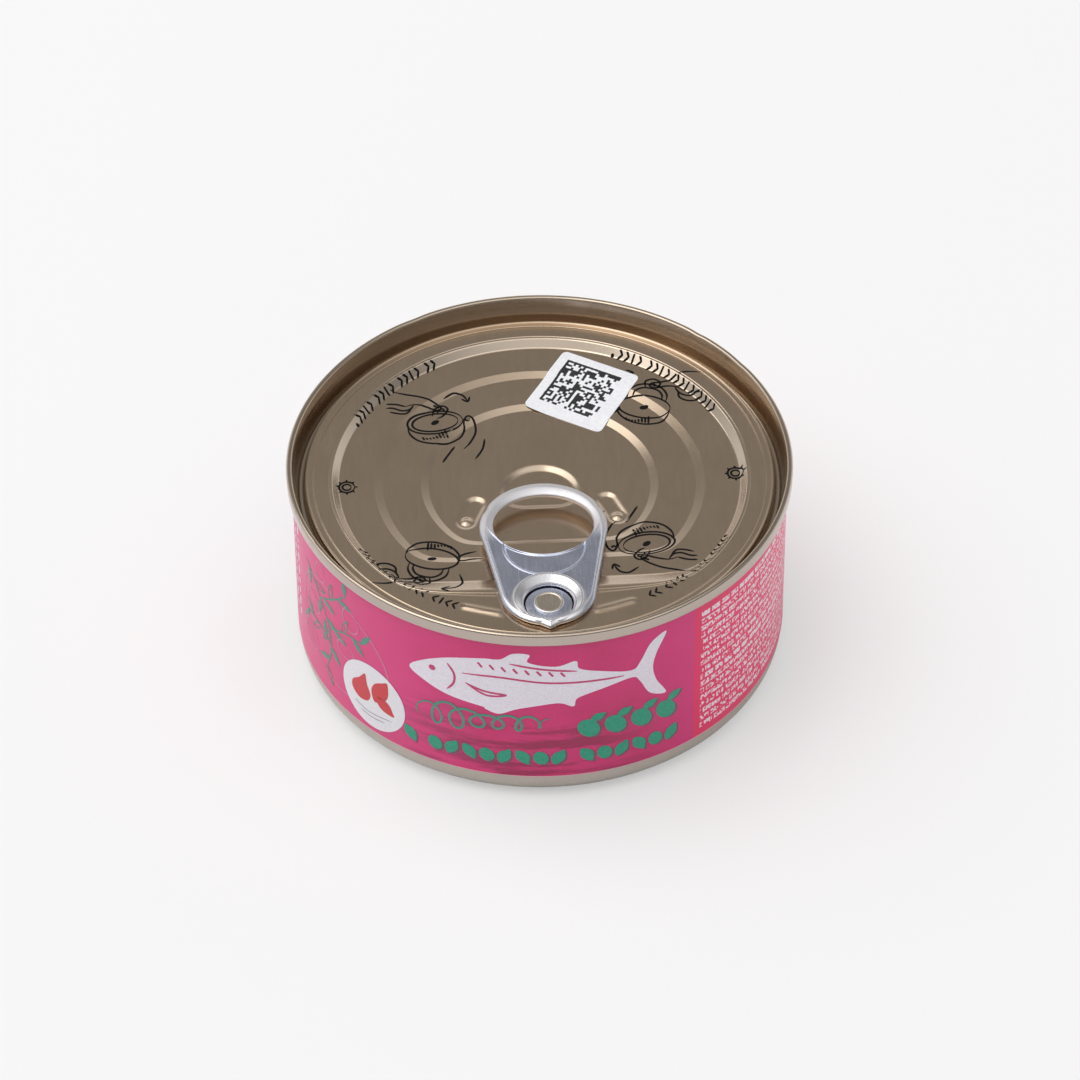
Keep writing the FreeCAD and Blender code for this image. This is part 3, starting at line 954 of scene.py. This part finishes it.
circle = [(math.cos(2 * math.pi * i / 48), math.sin(2 * math.pi * i / 48)) for i in range(48)]
leaf = flow([(-1, 0), (-0.45, 0.3), (0.2, 0.33), (0.75, 0.14), (1.05, 0), (0.7, -0.16),
             (0.1, -0.3), (-0.5, -0.24)], steps=5)
FISH_PLACE, FISH_STRETCH = (-2.6, 27.2), 1.12
fish = flow([
    (-22.6, -0.9), (-20.2, 1.3), (-15.5, 3.5), (-9.5, 4.9), (-6.2, 5.2), (-4.0, 6.6), (-1.2, 6.5),
    (-1.4, 4.9), (3.2, 4.0), (6.6, 4.9), (7.3, 3.2), (11.5, 1.9), (16.4, 0.75), (18.0, 2.2),
    (19.9, 5.3), (22.8, 6.6), (21.0, 3.0), (20.3, 0.1), (21.0, -2.9), (22.9, -6.3), (19.8, -5.2),
    (17.9, -2.0), (16.4, -0.75), (11.5, -1.6), (7.0, -2.9), (6.2, -4.6), (3.4, -3.7), (-3.0, -4.9),
    (-6.4, -6.3), (-8.8, -5.6), (-9.4, -5.2), (-15.6, -4.2), (-20.0, -2.6),
], steps=6)
white_ink = print_ink("white_ink", linear(226, 219, 230), linear(236, 230, 240), 0.36)
magenta_ink = print_ink("magenta_ink", linear(184, 50, 102), linear(202, 60, 114), 0.34)
fish = [(x, y * FISH_STRETCH) for x, y in fish]
label_ink("fish_shape", [filled([moved(fish, *FISH_PLACE)])], 0.03, white_ink)
fish_lines = [flow(run, closed=False) for run in (
    [(-15.4, 2.7), (-14.2, 0.6), (-14.3, -1.6), (-15.5, -3.4)],
    [(-12.8, 1.2), (-6.0, 1.6), (2.0, 0.7), (10.0, 0.3), (15.0, 0.05)],
    [(-12.2, -0.9), (-9.0, -2.1), (-5.2, -2.5), (-8.6, -3.0), (-12.2, -0.9)],
    [(-4.6, 5.0), (0.6, 4.0), (6.8, 3.1)],
    *([(x, 3.5 - 0.1 * x), (x + 0.8, 2.4 - 0.1 * x)] for x in range(-10, 6, 2)),
)]
label_ink("fish_lines", [
    stroked([moved(line, *FISH_PLACE) for line in fish_lines], 0.42),
    filled([moved(circle, FISH_PLACE[0] - 18.2, FISH_PLACE[1] + 0.6, size=0.62)]),
], 0.05, magenta_ink)

green_ink = print_ink("green_ink", linear(14, 142, 112), linear(32, 158, 126), 0.34)
shadow_ink = print_ink("shadow_ink", linear(112, 66, 88), linear(124, 78, 98), 0.4)
low_row = []
for index in range(15):
    x = -25.4 + index * 3.1 + ((index > 0) + (index > 8)) * 1.7
    if index % 3 == 1:
        low_row.append(moved(circle, x, 10.0, size=1.3, turn=20, squash=1.2))
    else:
        low_row.append(moved(leaf, x, 10.1, turn=62 if index % 3 else -58, size=1.85, squash=1.9))
olives = []
for index in range(4):
    x = 6.2 + index * 4.7
    olives.append(moved(circle, x, 16.4 - 0.1 * index, turn=35, size=1.75, squash=1.3))
    olives.append(moved(leaf, x + 1.6, 18.7, turn=30, size=1.5, squash=1.7))
label_ink("olive_row", [filled(low_row + olives)], 0.05, green_ink)
label_ink("olive_row_shadow", [
    filled([moved(outline, 0.36, -0.3) for outline in low_row + olives]),
], 0.03, shadow_ink)
curl = []
for step in range(150):
    t = step / 149
    turn = t * 6.5 * 2 * math.pi
    size = 1.25 + 0.9 * math.sin(math.pi * t) + 0.5 * math.sin(5 * t)
    curl.append((-23.6 + 23.2 * t - 1.35 * size * math.sin(turn) * 0.62,
                 17.3 + 0.03 * turn - size * math.cos(turn) * (0.95 + 0.35 * math.sin(9 * t))))
thin_green = print_ink("thin_green_ink", linear(58, 134, 116), linear(74, 146, 128), 0.34)
label_ink("curled_line", [stroked([curl], 0.52)], 0.055, thin_green)

BADGE = (-33.7, 13.8)
disc_ink = print_ink("disc_ink", linear(224, 224, 229), linear(232, 231, 236), 0.36)
red_ink = print_ink("red_ink", linear(196, 42, 52), linear(210, 54, 62), 0.34)
grey_ink = print_ink("grey_ink", linear(150, 150, 160), linear(170, 168, 178), 0.4)
drop = flow([(0, 1.5), (-0.42, 0.62), (-0.95, -0.2), (-0.82, -1.0), (0, -1.4), (0.82, -1.0),
             (0.95, -0.2), (0.42, 0.62)], steps=6)
label_ink("badge_disc", [filled([moved(circle, *BADGE, size=7.3)])], 0.07, disc_ink)
label_ink("badge_drop", [filled([
    moved(drop, BADGE[0] - 2.3, BADGE[1] + 1.1, turn=-14, size=2.35),
    moved(leaf, BADGE[0] + 2.1, BADGE[1] + 2.2, turn=64, size=3.3, squash=1.6),
    moved(leaf, BADGE[0] + 2.9, BADGE[1] - 0.6, turn=-34, size=2.4, squash=1.7),
])], 0.09, red_ink)
label_ink("badge_lines", [stroked([
    flow([(BADGE[0] - 4.2, BADGE[1] - 3.3), (BADGE[0] - 1.0, BADGE[1] - 4.1),
          (BADGE[0] + 4.4, BADGE[1] - 3.4)], closed=False),
    flow([(BADGE[0] - 2.8, BADGE[1] - 4.7), (BADGE[0], BADGE[1] - 5.0),
          (BADGE[0] + 2.8, BADGE[1] - 4.6)], closed=False),
], 0.2)], 0.09, grey_ink)

stems = [flow(run, closed=False, steps=10) for run in (
    [(-53.5, 31.5), (-49.5, 28.4), (-45.6, 23.0), (-44.6, 17.0), (-46.4, 11.4)],
    [(-48.0, 26.6), (-43.8, 29.4), (-39.6, 33.2)],
    [(-45.2, 21.6), (-40.2, 24.2), (-35.6, 24.8)],
    [(-44.8, 18.0), (-48.6, 19.8), (-53.6, 19.2)],
)]
leaves, leaf_lines, ovals = [], [], []
for line in stems:
    for order, pick in enumerate(range(5, len(line), 5)):
        (x, y), (ahead_x, ahead_y) = line[pick - 1], line[pick]
        heading = math.degrees(math.atan2(ahead_y - y, ahead_x - x))
        turn = heading + (48 if order % 2 else -48)
        c, s = math.cos(math.radians(turn)), math.sin(math.radians(turn))
        shape = moved(leaf, x + 1.9 * c, y + 1.9 * s, turn=turn, size=1.85, squash=0.95)
        if order % 3 == 1:
            leaf_lines.append(shape + shape[:1])
        else:
            leaves.append(shape)
for x, y, turn, size in ((-38.6, 28.3, 20, 1.9), (-50.6, 23.6, 60, 1.8), (-40.2, 20.2, 75, 1.7),
                         (-52.2, 14.6, 30, 2.3), (-47.6, 32.8, 10, 1.5)):
    ovals.append(moved(circle, x, y, turn=turn, size=size, squash=1.35))
label_ink("sprig_leaves", [filled(leaves), stroked(leaf_lines, 0.24), stroked(stems, 0.34)],
          0.04, thin_green)
rings = [moved(circle, -44.0, 20.5, turn=50 + 12 * index, size=9.2 + index, squash=1.3)
         for index in range(3)]
arcs = [ring[start:start + 22] for start, ring in zip((2, 20, 34), rings)]
pale_ink = print_ink("pale_line_ink", linear(196, 122, 152), linear(208, 136, 164), 0.36)
label_ink("sprig_outlines", [
    stroked([oval + oval[:1] for oval in ovals], 0.26), stroked(arcs, 0.26),
], 0.035, pale_ink)
dashes = []
random.seed(11)
for column_place in (-59.0, -61.4):
    height_place = 13.0
    while height_place < 34:
        length = random.choice((0.9, 1.4, 2.2))
        dashes.append(flow([(column_place, height_place), (column_place, height_place + length)],
                           closed=False, steps=3))
        height_place += length + 0.75
label_ink("side_dashes", [stroked(dashes, 0.8)], 0.04, white_ink)
bars = []
place_along = -112.0
while place_along < -84.0:
    wide = random.choice((0.35, 0.6, 0.95))
    bars.append([(place_along, 11), (place_along + wide, 11), (place_along + wide, 29),
                 (place_along, 29)])
    place_along += wide + random.choice((0.4, 0.7))
field = [(-115, 8.5), (-81, 8.5), (-81, 31.5), (-115, 31.5)]
label_ink("back_field", [filled([field])], 0.03, white_ink)
plum_ink = print_ink("plum_ink", linear(92, 30, 58), linear(104, 36, 66), 0.36)
label_ink("back_stripes", [filled(bars)], 0.05, plum_ink)

# ------------------------------------------------------------------ opening marks of the lid
# Black varnish ink is stamped on the flat sheet before it is pressed: twice over, two plain
# drawings of a hand that opens a can, bands of arrows along the rim, and two small round marks.
INK_LIFT = 0.015
LINE_WIDTH = 0.4
DRAWN_STEP = 0.35
ARROW_RING = 35.2
ARROW_BANDS = ((121.5, 34.0), (301.5, 34.0), (29.5, 38.5), (209.5, 38.5))
ARROW_PITCH, DOT_PITCH, GAP_PITCH = 2.05, 2.2, 1.5
PRINT_TURN = 2.5
lid_tree = BVHTree.FromPolygons(
    [vertex.co[:] for vertex in lid.data.vertices], [face.vertices[:] for face in lid.data.polygons]
)


def on_lid(x, y, lift):
    """Point on the pressed lid under a place on the flat sheet."""
    hit = lid_tree.ray_cast(Vector((x * MM, y * MM, 0.1)), Vector((0, 0, -1)))[0]
    return (x * MM, y * MM, hit.z + lift * MM)


def evenly(path):
    """Path with more points, so that a line follows the steps of the lid."""
    run = [path[0]]
    for (ax, ay), (bx, by) in zip(path, path[1:]):
        parts = max(1, math.ceil(math.hypot(bx - ax, by - ay) / DRAWN_STEP))
        run += [(ax + (bx - ax) * part / parts, ay + (by - ay) * part / parts)
                for part in range(1, parts + 1)]
    return run


oval = [(4.6 * math.cos(t / 5), 2.7 * math.sin(t / 5)) for t in range(32)]
inner_oval = [(3.8 * math.cos(t / 5), 2.1 * math.sin(t / 5)) for t in range(32)]
lifting = [
    oval, inner_oval,
    [(-4.6, 0), (-4.5, -2.2), (-3.0, -4.2), (0.2, -5.2), (3.2, -4.2), (4.5, -2.2), (4.6, 0)],
    [(-0.2, 1.6), (0.5, 3.2), (1.9, 3.8), (2.6, 2.8), (1.6, 1.4), (0.5, 0.9)],
    [(0.7, 2.2), (1.3, 3.0), (1.9, 3.0), (1.9, 2.4)],
    [(-6.0, 8.6), (-3.8, 7.4), (-1.2, 6.2), (0.8, 4.6), (1.6, 3.4), (0.9, 2.9), (-0.6, 3.8),
     (-2.6, 4.6), (-4.2, 4.4)],
    [(0.4, 4.2), (1.0, 3.7), (1.2, 3.3)],
    [(-4.2, 4.4), (-5.6, 5.2), (-7.2, 5.6)],
    [(-2.8, 4.5), (-3.6, 3.6), (-4.9, 3.5), (-6.3, 4.4), (-7.4, 4.6)],
    [(-3.4, 3.5), (-4.4, 2.7), (-5.6, 2.9), (-7.0, 3.6)],
    [(2.4, 5.4), (4.2, 6.4), (5.6, 5.8), (6.2, 4.2)],
    [(5.3, 4.9), (6.2, 4.1), (6.7, 5.2)],
    [(3.6, -6.8), (4.8, -5.6), (6.2, -3.2), (6.4, -0.6), (5.6, 0.6), (4.7, -0.6), (4.6, -2.6)],
    [(4.9, -0.2), (5.4, -0.5), (5.7, -0.1)],
    [(-0.4, -9.4), (1.4, -7.0), (2.2, -6.0)], [(5.0, -9.6), (6.6, -7.4), (7.4, -5.0)],
]
pulling = [
    oval,
    [(-4.6, 0), (-4.4, -1.8), (-2.6, -3.6), (0.4, -4.3), (3.2, -3.5), (4.4, -1.8), (4.6, 0)],
    [(-3.4, 1.8), (-3.2, 4.0), (-1.2, 5.6), (1.8, 5.4), (3.4, 3.6), (3.5, 1.7)],
    [(-2.5, 2.2), (-2.2, 3.7), (-0.8, 4.7), (1.5, 4.5), (2.6, 3.3), (2.7, 2.0)],
    [(-0.6, 4.8), (-0.9, 6.4), (0.4, 7.2), (1.7, 6.5), (1.5, 4.9)],
    [(8.4, 9.2), (5.8, 8.8), (3.6, 7.6), (1.6, 6.6), (0.4, 6.2), (0.0, 5.4), (1.0, 5.0),
     (2.8, 5.8), (4.6, 6.0), (6.0, 5.2)],
    [(0.5, 6.1), (0.9, 5.7), (0.8, 5.3)],
    [(4.4, 6.0), (5.4, 4.6), (6.9, 4.1), (8.6, 4.6), (9.6, 4.2)],
    [(5.2, 4.8), (5.7, 3.4), (7.2, 2.8), (9.0, 3.2)],
    [(-5.4, 3.0), (-6.4, 5.2), (-5.6, 7.2), (-3.6, 8.2)],
    [(-4.6, 7.0), (-3.5, 8.2), (-4.9, 8.7)],
    [(-8.4, -1.8), (-6.6, -1.2), (-5.0, -0.4), (-4.2, -1.2), (-5.2, -2.4), (-7.0, -3.4)],
]
drawn, blots = [], []
for half_turn in (0, 180):
    turn = math.radians(half_turn - PRINT_TURN)
    for figure, x, y, size in ((lifting, -18.2, 15.6, 1.06), (pulling, 18.4, 19.2, 1.0)):
        px, py = x * math.cos(turn) - y * math.sin(turn), x * math.sin(turn) + y * math.cos(turn)
        tilt = half_turn + (8 if figure is lifting else -14)
        for strokes in figure:
            path = flow(strokes, closed=False, steps=6)
            drawn.append(evenly(moved(path, px, py, tilt, size)))
        hatch = [[(-3.6 + 0.62 * i, -3.0 - 0.9 * math.sin(0.5 * i)), (-3.3 + 0.62 * i, -4.4)]
                 for i in range(1, 9)]
        drawn += [evenly(moved(line, px, py, tilt, size * 0.9)) for line in hatch]
        blots.append(moved([(0.62 * a, 0.4 * b) for a, b in circle], px, py, tilt + 30, 1.3))
# Each band starts with a dot, and every fifth place in it is a gap and every fifth a bar.
dot = [(0.32 * a, 0.32 * b - 0.4) for a, b in circle]
arrow = [(-0.44, -0.88), (0.38, 0.0), (-0.44, 0.88)]
bar = [(0.0, -0.88), (0.0, 0.88)]
for first, length in ARROW_BANDS:
    bearing = first + length - PRINT_TURN
    mark = 0
    while bearing > first - PRINT_TURN:
        angle = math.radians(bearing)
        on_ring = (ARROW_RING * math.cos(angle), ARROW_RING * math.sin(angle), bearing - 90)
        if mark == 0:
            blots.append(moved(dot, *on_ring))
            bearing -= DOT_PITCH
        elif mark % 5 == 0:
            bearing -= GAP_PITCH
        else:
            drawn.append(evenly(moved(bar if mark % 5 == 3 else arrow, *on_ring)))
            bearing -= ARROW_PITCH
        mark += 1
for x in (-33.3, 33.9):
    for size in (1.35, 0.75):
        ring = [(size * a, size * b) for a, b in circle[::2]]
        drawn.append(evenly(moved(ring + ring[:1], x, 0.1, 0)))
    for bearing in range(0, 360, 45):
        spoke = [(0.0, 1.35), (0.0, 1.9)]
        drawn.append(evenly(moved(spoke, x, 0.1, bearing)))
flat_vertices, flat_faces = stroked(drawn, LINE_WIDTH)
for blot in blots:
    base = len(flat_vertices)
    flat_vertices += blot
    flat_faces.append(tuple(range(base, base + len(blot))))
vertices = [on_lid(x, y, INK_LIFT) for x, y in flat_vertices]
lid_marks = solid_sheet("opening_marks", vertices, flat_faces, INK_SHEET)
black_ink = print_ink("black_ink", linear(6, 6, 6), linear(14, 13, 12), 0.6)
black_ink.node_tree.nodes["Principled BSDF"].inputs["Specular IOR Level"].default_value = 0.15
lid_marks.data.materials.append(black_ink)
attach(lid_marks, "root")

# ------------------------------------------------------------------ code sticker
# A square of white paper with rounded corners, printed with a plain scatter of black cells and
# pressed down over the steps of the lid, which it bridges a little.
STICKER_WIDTH, STICKER_LENGTH = 15.0, 15.6
STICKER_PLACE = (8.55, 23.05)
STICKER_TURN = -30.3
STICKER_CORNER = 1.0
STICKER_STEPS = 72
STICKER_SHEET = 0.1
CODE_LEFT, CODE_RIGHT, CODE_BOTTOM, CODE_TOP = 0.115, 0.825, 0.165, 0.885
CODE_CELLS = 22

grid = np.linspace(-1, 1, STICKER_STEPS + 1)
across, up = np.meshgrid(grid, grid)
half = np.array([STICKER_WIDTH, STICKER_LENGTH]) / 2
flat_x, flat_y = across * half[0], up * half[1]
over_x = np.abs(flat_x) - (half[0] - STICKER_CORNER)
over_y = np.abs(flat_y) - (half[1] - STICKER_CORNER)
cornered = (over_x > 0) & (over_y > 0)
reach = np.maximum(over_x, over_y) / np.maximum(np.hypot(over_x, over_y), 1e-9)
flat_x = np.where(cornered, np.sign(flat_x) * (half[0] - STICKER_CORNER + over_x * reach), flat_x)
flat_y = np.where(cornered, np.sign(flat_y) * (half[1] - STICKER_CORNER + over_y * reach), flat_y)
c, s = math.cos(math.radians(STICKER_TURN)), math.sin(math.radians(STICKER_TURN))
world_x = STICKER_PLACE[0] + flat_x * c - flat_y * s
world_y = STICKER_PLACE[1] + flat_x * s + flat_y * c
ground = np.array([
    [on_lid(x, y, 0)[2] / MM for x, y in zip(*row)] for row in zip(world_x, world_y)
])
laid = ground.copy()
for _ in range(60):
    padded = np.pad(laid, 1, mode="edge")
    eased = (padded[:-2, 1:-1] + padded[2:, 1:-1] + padded[1:-1, :-2] + padded[1:-1, 2:]) / 4
    laid = np.maximum(eased, ground)
laid += STICKER_SHEET + 0.02
vertices = np.c_[world_x.ravel(), world_y.ravel(), laid.ravel()] * MM
side = STICKER_STEPS + 1
faces = [
    (row * side + column, row * side + column + 1,
     (row + 1) * side + column + 1, (row + 1) * side + column)
    for row in range(STICKER_STEPS) for column in range(STICKER_STEPS)
]
sticker = new_piece("paper_sticker", vertices.tolist(), [], faces)
uv = sticker.data.uv_layers.new(name="sheet")
for loop in sticker.data.loops:
    row, column = divmod(loop.vertex_index, side)
    uv.data[loop.index].uv = (column / STICKER_STEPS, row / STICKER_STEPS)
thick = sticker.modifiers.new("paper", "SOLIDIFY")
thick.thickness = STICKER_SHEET * MM
thick.offset = -1
bpy.ops.object.modifier_apply(modifier="paper")
bpy.ops.object.shade_smooth_by_angle(angle=math.radians(40))

sticker_paper, tree, shader = material("sticker_paper")
uv_axes = node(tree, "SeparateXYZ", {0: node(tree, "UVMap", uv_map="sheet").outputs[0]}).outputs
paper_noise = noise(tree, on_piece(tree), 1800.0, 3.0)
edge_noise = noise(tree, on_piece(tree), 5200.0, 1.0)
cells = []
for axis, (low_edge, high_edge) in enumerate(((CODE_LEFT, CODE_RIGHT), (CODE_BOTTOM, CODE_TOP))):
    share = node(tree, "MapRange", {
        0: uv_axes[axis], 1: low_edge, 2: high_edge, 3: 0.0, 4: float(CODE_CELLS),
    }, clamp=False).outputs[0]
    wobble = times(tree, maths(tree, "SUBTRACT", edge_noise, 0.5), 0.4)
    cells.append(maths(tree, "ADD", share, wobble))
column, row = (maths(tree, "FLOOR", cell) for cell in cells)
scatter = node(tree, "TexWhiteNoise", {
    "Vector": node(tree, "CombineXYZ", {0: column, 1: row, 2: 4.0}).outputs[0],
}, noise_dimensions="3D").outputs[0]
dark = maths(tree, "GREATER_THAN", scatter, 0.5)
dark = maths(tree, "MAXIMUM", dark, maths(tree, "LESS_THAN", column, 0.5))
dark = maths(tree, "MAXIMUM", dark, maths(tree, "GREATER_THAN", row, CODE_CELLS - 1.5))
for cell in cells:
    dark = times(tree, dark, between(tree, cell, 0.0, float(CODE_CELLS)))
paper_tone = ramped(tree, paper_noise, 0.35, 0.65)
paper_colour = blend_colour(tree, paper_tone, linear(234, 234, 238), linear(243, 243, 246))
feed(tree, shader, "Base Color", blend_colour(tree, dark, paper_colour, linear(26, 25, 27)))
feed(tree, shader, "Roughness", ramped(tree, paper_tone, 0.0, 1.0, 0.5, 0.6))
sticker.data.materials.append(sticker_paper)
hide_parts("code_sticker")
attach(sticker, "root")

# ------------------------------------------------------------------ floor, light and camera
# A pale table stands in a grey studio with a bright ceiling. One large lamp hangs over it on the
# left, and a long lens looks down at the can.
CAMERA_AZIMUTH = math.radians(-2.5)
CAMERA_ELEVATION = math.radians(43.47)
CAMERA_DISTANCE = 950 * MM
CAMERA_ROLL = math.radians(-0.406)
AIM_HEIGHT = 17 * MM
AIM_RAISE = 2.67 * MM
LENS_LENGTH = 181
LAMP_PLACE, LAMP_SIZES, LAMP_POWER = (-1.15, 0.16, 1.95), (2.6, 2.1), 26
FLOOR_WHITE, FLOOR_GLOW, FLOOR_PAINT = 0.45, 0.9, 0.94
BACKDROP_WHITE = 0.925
# Brightness of the studio over each angle above the floor, in degrees, behind and before the can.
SKY_BEHIND = (
    (1, 1.15), (9, 1.05), (22, 0.7), (34, 0.36), (41, 0.28), (50, 0.28), (60, 0.5), (80, 1.1),
)
SKY_BEFORE = ((1, 0.6), (9, 0.28), (36, 0.3), (48, 0.8), (58, 1.6), (68, 1.6), (80, 1.1))

bpy.ops.object.select_all(action="DESELECT")
bpy.ops.mesh.primitive_plane_add(size=6, location=(0, 0, 0))
floor = bpy.context.object
floor.name = "table_top"
floor_paint, tree, shader = material("table_paint")
shader.inputs["Base Color"].default_value = linear(250, 250, 250)
shader.inputs["Roughness"].default_value = 0.9
shader.inputs["Specular IOR Level"].default_value = 0.0
shader.inputs["Emission Color"].default_value = (FLOOR_GLOW, FLOOR_GLOW, FLOOR_GLOW, 1)
glow = times(tree, node(tree, "LightPath").outputs["Is Camera Ray"], FLOOR_WHITE)
feed(tree, shader, "Emission Strength", glow)
paint = maths(tree, "SUBTRACT", 1.0, glow)
feed(tree, shader, "Base Color", node(tree, "VectorMath", {
    0: (FLOOR_PAINT, FLOOR_PAINT, FLOOR_PAINT), 3: paint,
}, operation="SCALE").outputs[0])
floor.data.materials.append(floor_paint)

world = bpy.data.worlds.new("studio")
bpy.context.scene.world = world
world.use_nodes = True
tree = world.node_tree
background = tree.nodes["Background"]
toward = node(tree, "SeparateXYZ", {0: node(tree, "TexCoord").outputs["Generated"]}).outputs
side_colours = []
for sky in (SKY_BEHIND, SKY_BEFORE):
    ramp = node(tree, "ValToRGB", {0: toward[2]})
    ramp.color_ramp.elements.remove(ramp.color_ramp.elements[1])
    ramp.color_ramp.elements[0].color = (sky[0][1], sky[0][1], sky[0][1], 1)
    for degrees, value in sky:
        stop = ramp.color_ramp.elements.new(math.sin(math.radians(degrees)))
        stop.color = (value, value, value, 1)
    side_colours.append(ramp.outputs[0])
before = ramped(tree, toward[1], 0.3, -0.3)
studio_colour = blend_colour(tree, before, side_colours[0], side_colours[1])
seen = node(tree, "LightPath").outputs["Is Camera Ray"]
backdrop = (BACKDROP_WHITE, BACKDROP_WHITE, BACKDROP_WHITE, 1)
feed(tree, background, "Color", blend_colour(tree, seen, studio_colour, backdrop))

key_light = bpy.data.lights.new("key", "AREA")
key_light.shape = "RECTANGLE"
key_light.size, key_light.size_y = LAMP_SIZES
key_light.energy = LAMP_POWER
key = bpy.data.objects.new("key", key_light)
key.location = LAMP_PLACE
key.rotation_euler = (-key.location).to_track_quat("-Z", "Y").to_euler()
bpy.context.collection.objects.link(key)

back = Vector((
    math.sin(CAMERA_AZIMUTH) * math.cos(CAMERA_ELEVATION),
    -math.cos(CAMERA_AZIMUTH) * math.cos(CAMERA_ELEVATION),
    math.sin(CAMERA_ELEVATION),
))
lens = bpy.data.cameras.new("camera")
lens.sensor_width = 36
lens.lens = LENS_LENGTH
lens.clip_start = 0.05
camera = bpy.data.objects.new("camera", lens)
camera.location = Vector((0, 0, AIM_HEIGHT)) + back * CAMERA_DISTANCE
aim = Vector((0, 0, AIM_HEIGHT)) + Vector((0, 0, AIM_RAISE)) * math.cos(CAMERA_ELEVATION)
aim += Vector((-back.x, -back.y, 0)).normalized() * AIM_RAISE * math.sin(CAMERA_ELEVATION)
camera.rotation_euler = (aim - camera.location).to_track_quat("-Z", "Y").to_euler()
camera.rotation_euler.rotate_axis("Z", CAMERA_ROLL)
bpy.context.collection.objects.link(camera)
bpy.context.scene.camera = camera
bpy.context.scene.view_settings.view_transform = "Standard"
